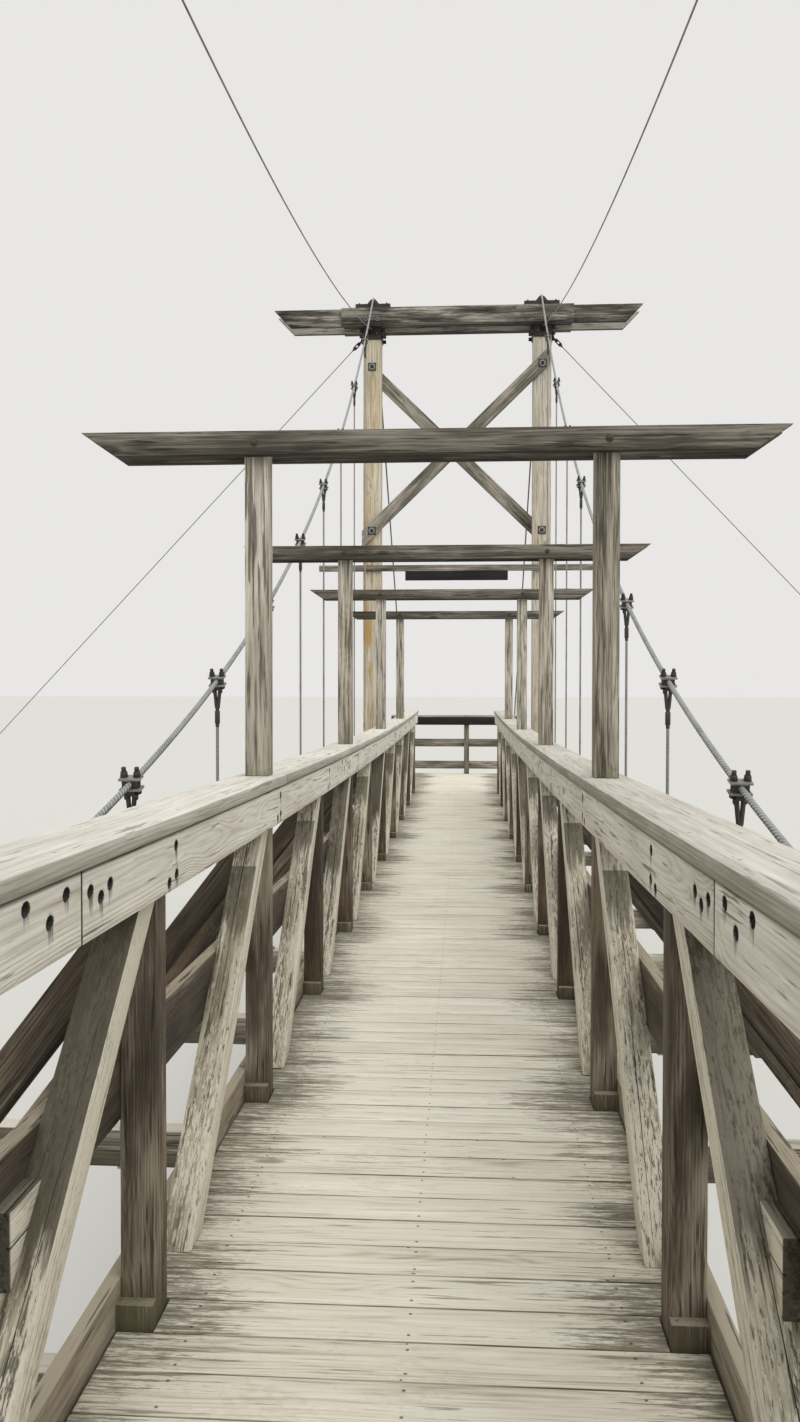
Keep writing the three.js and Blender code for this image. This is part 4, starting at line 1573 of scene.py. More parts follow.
@dataclass
class SideTruss:
    """Verticals, leaning square timbers, curb, mid rail, foot blocks and outriggers of one side."""

    finishes: Finishes
    side: Side
    curb_top: float = mm(100)
    curb_tone: float = 1.1
    mid_rail_top: float = mm(662)
    mid_rail_tone: float = 0.12
    chord_depth: float = mm(184)
    block_depth: float = mm(38)
    block_width: float = mm(100)
    block_top: float = mm(56)
    diagonal_foot: float = mm(270)
    diagonal_head: float = mm(1135)
    outrigger_foot: float = mm(1630)
    outrigger_head: float = mm(940)
    outrigger_lap: float = mm(25)
    cleat_panel: int = 1
    cleat_start: float = mm(720)
    cleat_height: float = mm(140)
    cleat_width: float = mm(35)
    cleat_tone: float = 0.45
    tones: tuple[float, ...] = (0.35, 0.5, 0.72, 0.85, 0.3, 0.6)
    lean_tones: tuple[float, ...] = (0.6, 0.08, 0.56, 0.78, 0.3)

    def build(self) -> None:
        """Build the truss, its diagonals and its outriggers."""
        plain: list[Object] = []
        leaning: list[Object] = []
        for end in End:
            for index in range(0 if end is End.FAR else 1, LAYOUT.half_panels + 1):
                plain += self._vertical(index, end)
            for index in range(LAYOUT.half_panels):
                leaning += self._diagonal(index, end)
        plain += self._long_planks()
        word, dark = self.side.word, self.finishes.truss
        slot = "truss_timber"
        settle(f"{word}_verticals_and_rails", plain, dark, slot, f"{word}_side_truss", cambered=True)
        settle(f"{word}_diagonals", leaning, self.finishes.diagonal, slot, cambered=True)
        settle(f"{word}_outriggers", self._outriggers(), dark, slot, cambered=True)

    def _x(self, distance: float) -> float:
        """A distance out from the deck's middle, on this side."""
        return self.side.value * distance

    def _tone(self, index: int) -> float:
        """A vertical's tone."""
        return self.tones[index % len(self.tones)]

    def _lean_tone(self, index: int) -> float:
        """A diagonal's tone; those over a half have a dry head with a sharp line under it."""
        lighter = 0.2 if self.side is Side.RIGHT else 0.0
        return self.lean_tones[index % len(self.lean_tones)] + lighter

    def _vertical(self, index: int, end: End) -> list[Object]:
        """A vertical and the block at its foot, towards mid-span.

        Args:
            index: The panel point, from mid-span.
            end: The end of the bridge.

        Returns:
            Both timbers.
        """
        height = LAYOUT.cap_underside + LAYOUT.beam_drop - mm(2)
        y = end.value * index * LAYOUT.panel
        post = MILL.timber(height, LAYOUT.post, LAYOUT.post, variant=index % 3)
        centre = (self._x(LAYOUT.post_middle), y, height / 2 - LAYOUT.beam_drop)
        block_height = self.block_top + LAYOUT.beam_drop
        block = MILL.timber(block_height, self.block_width, self.block_depth)
        back = y - end.value * (LAYOUT.post + self.block_depth) / 2
        foot = (self._x(LAYOUT.inner_face + self.block_width / 2), back, block_height / 2 - LAYOUT.beam_drop)
        return [
            MILL.lay(post, standing(centre, UP, ALONG), self._tone(index)),
            MILL.lay(block, standing(foot, UP, ALONG), 0.15 + 0.3 * self._tone(index)),
        ]

    def _diagonal(self, index: int, end: End) -> list[Object]:
        """A square timber from the deck up to the next vertical, with its cleat where it has one.

        Args:
            index: The panel, from mid-span.
            end: The end of the bridge.

        Returns:
            The timbers.
        """
        head_run = LAYOUT.panel - LAYOUT.post / 2
        slope = self.diagonal_head / (head_run - self.diagonal_foot)
        half = LAYOUT.post / 2 * math.hypot(1, slope)
        spare = mm(120)
        lean = Lean(
            (self.diagonal_foot - spare, -half - spare * slope),
            (head_run + spare, self.diagonal_head + spare * slope - half),
        )
        cuts = (lean.cut((0, mm(1)), (0, -1)), lean.cut((head_run, 0), (1, 0)))
        pattern = MILL.timber(lean.length, LAYOUT.post, LAYOUT.post, cuts, variant=index % 3)
        origin = Vector((self._x(LAYOUT.post_middle), end.value * index * LAYOUT.panel, 0.0))
        timbers = [MILL.lay(pattern, lean.matrix(origin, ALONG * end.value), self._lean_tone(index))]
        if index == self.cleat_panel:
            timbers.append(self._cleat(slope, end))
        return timbers

    def _cleat(self, slope: float, end: End) -> Object:
        """A wedge on the diagonal's upper face: level on top, plumb towards mid-span.

        Args:
            slope: Rise of the diagonal for each metre.
            end: The end of the bridge.

        Returns:
            The cleat.
        """
        foot = (self.cleat_start - self.diagonal_foot) * slope
        reach = self.cleat_height / slope
        lean = math.atan(slope)
        cuts = (Cut((0.0, 0.0, 0.0), (math.sin(lean), 0.0, -math.cos(lean))),)
        pattern = MILL.timber(reach, self.cleat_width, self.cleat_height, cuts, arris=mm(2))
        x = self._x(LAYOUT.outer_face - self.cleat_width / 2)
        y = end.value * (self.cleat_panel * LAYOUT.panel + self.cleat_start + reach / 2)
        place = standing((x, y, foot + self.cleat_height / 2), ALONG * end.value)
        return MILL.lay(pattern, place, self.cleat_tone)

    def _long_planks(self) -> list[Object]:
        """Curb and mid rail, in lengths that break behind the verticals.

        Returns:
            The planks.
        """
        timbers = []
        panels = 2
        length = panels * LAYOUT.panel - mm(3)
        plank = MILL.timber(length, LAYOUT.plank, self.chord_depth)
        x = self._x(LAYOUT.outer_face + LAYOUT.plank / 2)
        for top, tone in ((self.curb_top, self.curb_tone), (self.mid_rail_top, self.mid_rail_tone)):
            for step in range(LAYOUT.half_panels):
                y = (panels * step + 1 - LAYOUT.half_panels) * LAYOUT.panel
                centre = (x, y, top - self.chord_depth / 2)
                timbers.append(MILL.lay(plank, standing(centre, ALONG), tone + 0.02 * step))
        return timbers

    def _outriggers(self) -> list[Object]:
        """Pairs of planks from the beams' ends up to the verticals.

        Returns:
            The planks.
        """
        low = -LAYOUT.beam_drop - LAYOUT.beam_depth
        slope = (self.outrigger_head - low) / (self.outrigger_foot - LAYOUT.outer_face)
        spare = mm(160)
        lap = LAYOUT.outer_face - self.outrigger_lap
        lean = Lean(
            (-self.outrigger_foot - spare, low - spare * slope),
            (-lap + spare, self.outrigger_head + (self.outrigger_lap + spare) * slope),
        )
        cuts = (lean.cut((0, low), (0, -1)), lean.cut((-lap, 0), (1, 0)))
        planks = []
        for index in range(1 - LAYOUT.half_panels, LAYOUT.half_panels):
            for face in (-1, 1):
                pattern = MILL.timber(lean.length, LAYOUT.plank, LAYOUT.post, cuts, variant=index % 2)
                y = index * LAYOUT.panel + face * (LAYOUT.post + LAYOUT.plank) / 2
                run = ACROSS * -self.side.value
                tone = 0.3 * self._tone(2 * index + face)
                planks.append(MILL.lay(pattern, lean.matrix(Vector((0.0, y, 0.0)), run), tone))
        return planks


@dataclass
class Handrail:
    """Fascia planks inside and outside the verticals, and the wide cap over them."""

    finishes: Finishes
    side: Side
    depth: float = mm(139)
    cap_thickness: float = mm(38)
    cap_width: float = mm(184)
    splice: float = 1.565
    lift: float = 3.0
    overrun: float = 0.03
    cap_joint: float = 3.06
    cap_overrun: float = 0.06
    cap_tones: Pair = (0.6, 0.24)
    fascia_tones: Pair = (0.94, 0.74)
    post_holes: tuple[Pair, ...] = ((0.0, mm(1134)), (mm(4), mm(1064)), (mm(-58), mm(1052)))
    splice_holes: tuple[Pair, ...] = (
        (mm(-248), mm(1143)), (mm(-150), mm(1102)), (mm(-75), mm(1137)),
        (mm(45), mm(1122)), (mm(102), mm(1102)), (mm(156), mm(1119)),
    )

    def build(self) -> None:
        """Build the two fascias and the cap."""
        word, slot, half = self.side.word, "rail_timber", LAYOUT.plank / 2
        for name, distance in (("inner", LAYOUT.inner_face - half), ("outer", LAYOUT.outer_face + half)):
            planks = self._fascia(distance, bored=name == "inner")
            node = f"{word}_{name}_rail"
            settle(f"{word}_{name}_fascia", planks, self.finishes.fascia, slot, node, cambered=True)
        node = f"{word}_handrail_with_gate_posts"
        settle(f"{word}_cap_boards", self._cap(), self.finishes.cap, slot, node, cambered=True)

    def _joints(self, first: float) -> list[float]:
        """Places of the three joints towards a tower, in panels from mid-span."""
        return [first + self.lift * step for step in range(3)]

    def _stretches(self) -> list[Pair]:
        """Ends of the fascia's planks, in panels from mid-span.

        Returns:
            Pairs of a start and a stop.
        """
        cuts = [*self._joints(self.splice), LAYOUT.half_panels + self.overrun]
        far = list(zip(cuts[:-1], cuts[1:], strict=True))
        near = [(-stop, -start) for start, stop in far]
        return near + [(-self.splice, self.splice)] + far

    def _holes(self, start: float, stop: float) -> list[Pair]:
        """Bolt holes of a plank between two places, as (distance from mid-span, height over deck).

        Args:
            start: Where the plank starts, in panels from mid-span.
            stop: Where it stops.

        Returns:
            The holes.
        """
        holes = []
        for index in range(-LAYOUT.half_panels, LAYOUT.half_panels + 1):
            way = 1 if index >= 0 else -1
            for offset, height in self.post_holes:
                holes.append((index * LAYOUT.panel + way * offset, height))
        for joint in self._joints(self.splice):
            for offset, height in self.splice_holes:
                holes += [(joint * LAYOUT.panel + offset, height), (-joint * LAYOUT.panel - offset, height)]
        rim = mm(18)
        return [h for h in holes if start * LAYOUT.panel + rim < h[0] < stop * LAYOUT.panel - rim]

    def _fascia(self, distance: float, bored: bool) -> list[Object]:
        """Planks of one fascia; the holes face the deck.

        Args:
            distance: From the deck's middle to the planks' middle.
            bored: Whether the planks have bolt holes.

        Returns:
            The planks.
        """
        timbers = []
        x = self.side.value * distance
        along = ALONG * self.side.value
        height = LAYOUT.cap_underside - mm(1) - self.depth / 2
        for start, stop in self._stretches():
            middle = (start + stop) / 2 * LAYOUT.panel
            holes = ()
            if bored:
                holes = tuple(
                    (round((y - middle) * self.side.value, 5), round(z - height, 5))
                    for y, z in self._holes(start, stop))
            length = (stop - start) * LAYOUT.panel - mm(4)
            pattern = MILL.timber(length, LAYOUT.plank, self.depth, holes=holes)
            tone = self.fascia_tones[self.side is Side.RIGHT] + 0.05 * math.sin(7.0 * start)
            timbers.append(MILL.lay(pattern, standing((x, middle, height), along), tone))
        return timbers

    def _cap(self) -> list[Object]:
        """Cap boards with butt joints.

        Returns:
            The boards.
        """
        places = [0.0, *self._joints(self.cap_joint), LAYOUT.half_panels + self.cap_overrun]
        x = self.side.value * LAYOUT.post_middle
        tone = self.cap_tones[self.side is Side.RIGHT]
        timbers = []
        for start, stop in zip(places[:-1], places[1:], strict=True):
            length = (stop - start) * LAYOUT.panel - mm(3)
            pattern = MILL.timber(length, self.cap_width, self.cap_thickness, arris=mm(5))
            own_tone = tone + 0.06 * math.cos(9.0 * stop)
            y, z = (start + stop) / 2 * LAYOUT.panel, LAYOUT.cap_underside + self.cap_thickness / 2
            for way in (1, -1):
                centre = (x, way * y, z)
                timbers.append(MILL.lay(pattern, standing(centre, ALONG * way), own_tone))
        return timbers


@dataclass
class Gates:
    """Posts on the handrails and a beam of two planks over the deck, on every second panel point."""

    finishes: Finishes
    top: float = mm(2485)
    plank_depth: float = mm(89)
    half_top: float = mm(1300)
    half_bottom: float = mm(1170)
    cap_top: float = mm(1208)

    def build(self) -> None:
        """Build all gates."""
        bolt = self._bolt()
        posts, bolts = [], []
        for order, index in enumerate(self._places(), 1):
            y = index * LAYOUT.panel
            posts += self._posts(y)
            name, node = f"gate_beam_planks_{order}", f"gate_beam_{order}"
            settle(name, self._beam(y), self.finishes.gate_beam, "gate_timber", node, cambered=True)
            bolts += self._bolts(bolt, y)
        settle("gate_posts", posts, self.finishes.gate_post, "rail_timber", cambered=True)
        settle("gate_bolts", bolts, None, "cable_steel", cambered=True)

    @staticmethod
    def _places() -> list[int]:
        """Panel points with a gate."""
        odd = [i for i in range(1, LAYOUT.half_panels) if i % 2]
        return [-i for i in reversed(odd)] + odd

    def _posts(self, y: float) -> list[Object]:
        """The two posts of a gate.

        Args:
            y: The gate's place along the bridge.

        Returns:
            The posts.
        """
        height = self.top - self.cap_top
        pattern = MILL.timber(height, LAYOUT.post, LAYOUT.post, variant=1)
        posts = []
        for side in Side:
            centre = (side.value * LAYOUT.post_middle, y, self.cap_top + height / 2)
            posts.append(MILL.lay(pattern, standing(centre, UP, ALONG * side.value)))
        return posts

    def _beam(self, y: float) -> list[Object]:
        """Two planks with slanted ends and the packing between them.

        Args:
            y: The gate's place along the bridge.

        Returns:
            The planks and the packing.
        """
        cuts = slanted_ends(self.half_top, self.half_bottom, self.plank_depth)
        length = 2 * self.half_top + mm(60)
        height = self.top - self.plank_depth / 2
        timbers = []
        for way in (-1, 1):
            pattern = MILL.timber(length, LAYOUT.plank, self.plank_depth, cuts, variant=way)
            centre = (0.0, y + way * (LAYOUT.post + LAYOUT.plank) / 2, height)
            timbers.append(MILL.lay(pattern, standing(centre, ACROSS)))
        packing = MILL.timber(LAYOUT.post, LAYOUT.post, self.plank_depth - mm(10))
        return [*timbers, MILL.lay(packing, standing((0.0, y, height), ACROSS))]

    def _bolt(self) -> Mesh:
        """A nut on a round washer, facing -Y.

        Returns:
            The pattern.
        """
        rusted = self.finishes.rusted
        return FORGE.fitting(
            "gate_bolt",
            (rusted, 15, (0, 2, 0), (0, -3, 0), 14),
            (rusted, 10, (0, -2, 0), (0, -10, 0), 6),
            (rusted, 5, (0, -9, 0), (0, -15, 0), 8),
        )

    def _bolts(self, bolt: Mesh, y: float) -> list[Object]:
        """A bolt through each post, with a nut on both faces.

        Args:
            bolt: The bolt's pattern.
            y: The gate's place along the bridge.

        Returns:
            The bolts.
        """
        height = self.top - self.plank_depth / 2
        out = LAYOUT.post / 2 + LAYOUT.plank
        pieces = []
        for side in Side:
            for turn, way in ((IN_PLACE, -1), (HALF_TURN, 1)):
                spot = (side.value * LAYOUT.post_middle, y + way * out, height)
                pieces.append(place_mesh(bolt, Matrix.Translation(spot) @ turn))
        return pieces


@dataclass
class AtTower:
    """What stands at one end of the bridge, placed from its tower's middle, where -Y faces mid-span."""

    finishes: Finishes
    end: End
    level: float = 0.0

    def _place(self, local: Matrix) -> Matrix:
        """A place in the frame."""
        return self.end.turn @ Matrix.Translation((0.0, LAYOUT.half_span, self.level)) @ local

    def _lay(
        self, pattern: Mesh, centre: Point, along: Vector = ACROSS, up: Vector = UP, **look: object
    ) -> Object:
        """Lay a copy of a timber's pattern; look is its tone and finish, as MILL.lay takes them."""
        return MILL.lay(pattern, self._place(standing(centre, along, up)), **look)


@dataclass
class Tower(AtTower):
    """Two square legs, a doubled cap beam, crossed braces, a strut and the bare board below it."""

    leg: float = mm(260)
    leg_centre: float = mm(1228)
    cap_top: float = mm(9418)
    cap_depth: float = mm(250)
    cap_plank: float = mm(60)
    cap_half_top: float = mm(2650)
    cap_half_bottom: float = mm(2410)
    doubler_half: float = mm(1667)
    packing_depth: float = mm(180)
    collar_depth: float = mm(178)
    brace_width: float = mm(184)
    brace_thickness: float = mm(45)
    brace_low: float = mm(6220)
    brace_high: float = mm(8600)
    brace_overrun: float = mm(110)
    brace_shift: float = mm(-20)
    strut_bottom: float = mm(5635)
    strut_depth: float = mm(89)
    strut_half: float = mm(2000)
    board_half: float = mm(742)
    board_depth: float = mm(135)

    def build(self) -> None:
        """Build the tower's timbers and their fixings."""
        tower, coats, slot = f"{self.end.word}_tower", self.finishes, "frame_timber"
        self._legs(tower)
        settle(f"{tower}_cap_planks", self._cap(), coats.cap_beam, "gate_timber", f"{tower}_cap_beam")
        for name, way in (("front", -1), ("back", 1)):
            node = f"{tower}_{name}_brace"
            settle(f"{node}_plank", [self._brace(way)], coats.brace, slot, node)
        node = f"{tower}_strut_with_bare_board"
        settle(f"{tower}_strut_and_bare_board", self._strut(), None, slot, node)
        settle(f"{tower}_fixings", self._fixings(), None, "cable_steel")

    def _legs(self, prefix: str) -> None:
        """The two legs, down to the ground.

        Args:
            prefix: The tower's name.
        """
        height = self.cap_top - self.packing_depth
        pattern = MILL.timber(height, self.leg, self.leg, arris=mm(9))
        for side, finish in ((Side.LEFT, self.finishes.left_leg), (Side.RIGHT, self.finishes.right_leg)):
            centre = (side.value * self.leg_centre, 0.0, height / 2)
            leg = self._lay(pattern, centre, UP, ALONG, tone=0.35 + 0.2 * side.value)
            name = f"{prefix}_{side.word}_leg"
            settle(f"{name}_timber", [leg], finish, "leg_timber", name)

    def _cap(self) -> list[Object]:
        """Two long planks with slanted ends, their doublers and the packing between them.

        Returns:
            The timbers.
        """
        cuts = slanted_ends(self.cap_half_top, self.cap_half_bottom, self.cap_depth)
        length = 2 * self.cap_half_top + mm(80)
        height = self.cap_top - self.cap_depth / 2
        face = self.leg / 2 + mm(0.4)
        timbers = []
        for way in (-1, 1):
            for reach, ends, step in ((length, cuts, 0.5), (2 * self.doubler_half, (), 1.5)):
                pattern = MILL.timber(reach, self.cap_plank, self.cap_depth, ends, arris=mm(6), variant=way)
                centre = (0.0, way * (face + step * self.cap_plank), height)
                # The back planks are pale: painted light on the inner face seen below the front planks.
                tone = 0.36 + 0.1 * step if way < 0 else 0.95
                timbers.append(self._lay(pattern, centre, tone=tone))
        packing = MILL.timber(2 * self.doubler_half, self.leg, self.packing_depth)
        low = self.cap_top - self.packing_depth / 2 - mm(1)
        return [*timbers, self._lay(packing, (0.0, 0.0, low))]

    def _brace(self, way: int) -> Object:
        """One crossed plank: the front one rises to the right.

        Args:
            way: -1 for the front one and 1 for the back one.

        Returns:
            The plank.
        """
        reach = self.leg_centre + 2 * self.brace_overrun
        middle = (self.brace_low + self.brace_high) / 2
        rise = (self.brace_high - self.brace_low) / 2 * reach / self.leg_centre
        lean = Lean((-reach, middle - rise), (reach, middle + rise))
        outside = self.leg_centre + self.leg / 2 - mm(4)
        cuts = (lean.cut((-outside, 0), (-1, 0)), lean.cut((outside, 0), (1, 0)))
        pattern = MILL.timber(lean.length, self.brace_thickness, self.brace_width, cuts)
        y = way * (self.leg / 2 + self.brace_thickness / 2 + mm(0.5))
        return MILL.lay(pattern, self._place(lean.matrix(Vector((self.brace_shift, y, 0.0)), ACROSS * -way)))

    def _strut(self) -> list[Object]:
        """The cross strut and the plain board under it.

        Returns:
            Both timbers.
        """
        y = -self.leg / 2 - LAYOUT.plank / 2 - mm(0.5)
        strut = MILL.timber(2 * self.strut_half, LAYOUT.plank, self.strut_depth)
        board = MILL.timber(2 * self.board_half, LAYOUT.plank - mm(12), self.board_depth)
        strut_level = self.strut_bottom + self.strut_depth / 2
        board_level = self.strut_bottom - self.board_depth / 2
        return [
            self._lay(strut, (0.0, y, strut_level), tone=0.8, finish=self.finishes.brace),
            self._lay(board, (0.0, y, board_level), tone=0.3, finish=self.finishes.black_board),
        ]

    def _fixings(self) -> list[Object]:
        """Square washers with nuts on the legs, braces and cap, and the collars under the cap.

        Returns:
            The fixings.
        """
        washer, collar = self._washer(), self._collar()
        face = self.leg / 2
        braced = face + self.brace_thickness
        capped = face + 2 * self.cap_plank
        pieces = []
        for side in Side:
            x = side.value * self.leg_centre
            levels = (self.brace_low, self.brace_high)[:: side.value]
            for turn, way in ((IN_PLACE, 1), (HALF_TURN, -1)):
                bare, crossed = levels[::way]
                spots = [(x, braced, crossed, 1.0), (x, face, bare, 1.0)]
                level = self.cap_top - self.cap_depth * 0.68
                spots += [(x + step * mm(85), capped, level, 0.6) for step in (-1, 1)]
                for across, out, z, size in spots:
                    place = Matrix.Translation((across, -way * out, z)) @ turn @ Matrix.Scale(size, 4)
                    pieces.append(place_mesh(washer, self._place(place)))
            under_cap = Matrix.Translation((x, 0.0, self.cap_top - self.cap_depth))
            pieces.append(place_mesh(collar, self._place(under_cap)))
        return pieces

    def _washer(self) -> Mesh:
        """A square plate washer with a round one, a nut and its bolt's end, facing -Y.

        Returns:
            The pattern.
        """
        black = self.finishes.black_steel
        return FORGE.fitting(
            "square_washer",
            (self.finishes.forged, (116, 8, 116), (0, -4, 0)),
            (self.finishes.galvanised, 46, (0, -7, 0), (0, -13, 0), 16),
            (black, 27, (0, -12, 0), (0, -32, 0), 6),
            (black, 12, (0, -31, 0), (0, -48, 0), 10),
        )

    def _collar(self) -> Mesh:
        """Steel straps with lugs and pins round a leg's head; the origin lies in it, under the cap.

        Returns:
            The pattern.
        """
        dark, pale = self.finishes.black_steel, self.finishes.galvanised
        half, depth, thick, reach = self.leg / 2 / mm(1), self.collar_depth / mm(1), 12, 54
        out = half + thick / 2
        parts = []
        for way in (-1, 1):
            parts.append((dark, (2 * half + 2 * thick, thick, depth), (0, way * out, -depth / 2)))
            parts.append((dark, (thick, 2 * half, depth), (way * out, 0, -depth / 2)))
            side = way * (half + reach / 2)
            for face in (-1, 1):
                for level, deep in ((-48, 64), (-128, 54)):
                    parts.append((dark, (reach, thick, deep), (side, face * out, level)))
                    start, stop = (side, face * (half - 20), level), (side, face * (half + 38), level)
                    parts.append((dark, 14, start, stop, 6))
                bolt = [(face * 70, way * (half + distance), -92) for distance in (6, 30, 40)]
                parts += [(dark, 19, *bolt[:2], 6), (pale, 7, *bolt[1:], 8)]
        return FORGE.fitting("leg_collar", *parts)


@dataclass
class Rope:
    """A round wire rope along a line, each point of which knows its place round the rope and along it."""

    radius: float
    corners: int = 12
    step: float = mm(30)

    def _curve(self, name: str, dimensions: str, points: Sequence[Sequence[float]]) -> Object:
        """A curve through points, straight from each to the next.

        Args:
            name: The curve's name.
            dimensions: Whether it is 2D or 3D.
            points: Its points.

        Returns:
            The curve's object.
        """
        curve = bpy.data.curves.new(name, "CURVE")
        curve.dimensions = dimensions
        spline = curve.splines.new("POLY")
        spline.points.add(len(points) - 1)
        for point, place in zip(spline.points, points, strict=True):
            point.co = (*place, 1.0)
        drawn = bpy.data.objects.new(name, curve)
        bpy.context.scene.collection.objects.link(drawn)
        return drawn

    def _section(self) -> Object:
        """The closed outline of the rope's section.

        Returns:
            The outline's object.
        """
        angles = [2 * math.pi * number / self.corners for number in range(self.corners)]
        points = [(self.radius * math.cos(angle), self.radius * math.sin(angle), 0.0) for angle in angles]
        section = self._curve("rope_section", "2D", points)
        section.data.splines[0].use_cyclic_u = True
        return section

    def _resample(self, line: Sequence[Point]) -> np.ndarray:
        """Points an even step apart on the line.

        Args:
            line: The line's own points.

        Returns:
            An array with three columns.
        """
        points = np.array(line, float)
        gaps = np.linalg.norm(np.diff(points, axis=0), axis=1)
        reach = np.concatenate(([0.0], np.cumsum(gaps)))
        marks = np.linspace(0.0, reach[-1], max(2, int(reach[-1] / self.step)))
        return np.stack([np.interp(marks, reach, points[:, i]) for i in range(3)], 1)

    def _mark_rounds(self, mesh: Mesh, points: np.ndarray) -> None:
        """Store each point's place round the rope, as two parts of its radius, and along it.

        Args:
            mesh: The rope's mesh.
            points: The line that it follows.
        """
        places = points_of(mesh)
        ring = np.clip(np.searchsorted(points[:, 1], places[:, 1]), 1, len(points) - 1)
        nearer = np.abs(points[ring - 1, 1] - places[:, 1]) < np.abs(points[ring, 1] - places[:, 1])
        ring = ring - nearer.astype(int)
        offset = (places - points[ring]) / self.radius
        along = np.gradient(points, axis=0)
        along /= np.linalg.norm(along, axis=1)[:, None]
        square = np.cross((1.0, 0.0, 0.0), along)[ring]
        upright = (offset * square).sum(axis=1)
        store(mesh, "rounds", np.stack((offset[:, 0], upright, ring * self.step), axis=1))

    def run(self, line: Sequence[Point]) -> Object:
        """Lay the rope along a line.

        Args:
            line: Points close enough together for its bends.

        Returns:
            The rope as a mesh.
        """
        points = self._resample(line)
        path = self._curve("rope", "3D", points)
        section = self._section()
        path.data.twist_mode = "Z_UP"
        path.data.bevel_mode = "OBJECT"
        path.data.bevel_object = section
        path.data.use_fill_caps = True
        select(path)
        bpy.ops.object.convert(target="MESH")
        rope = bpy.context.view_layer.objects.active
        bpy.data.objects.remove(section)
        self._mark_rounds(rope.data, points)
        with edit_mode(rope):
            bpy.ops.mesh.normals_make_consistent(inside=False)
        smooth(rope, 70)
        return rope


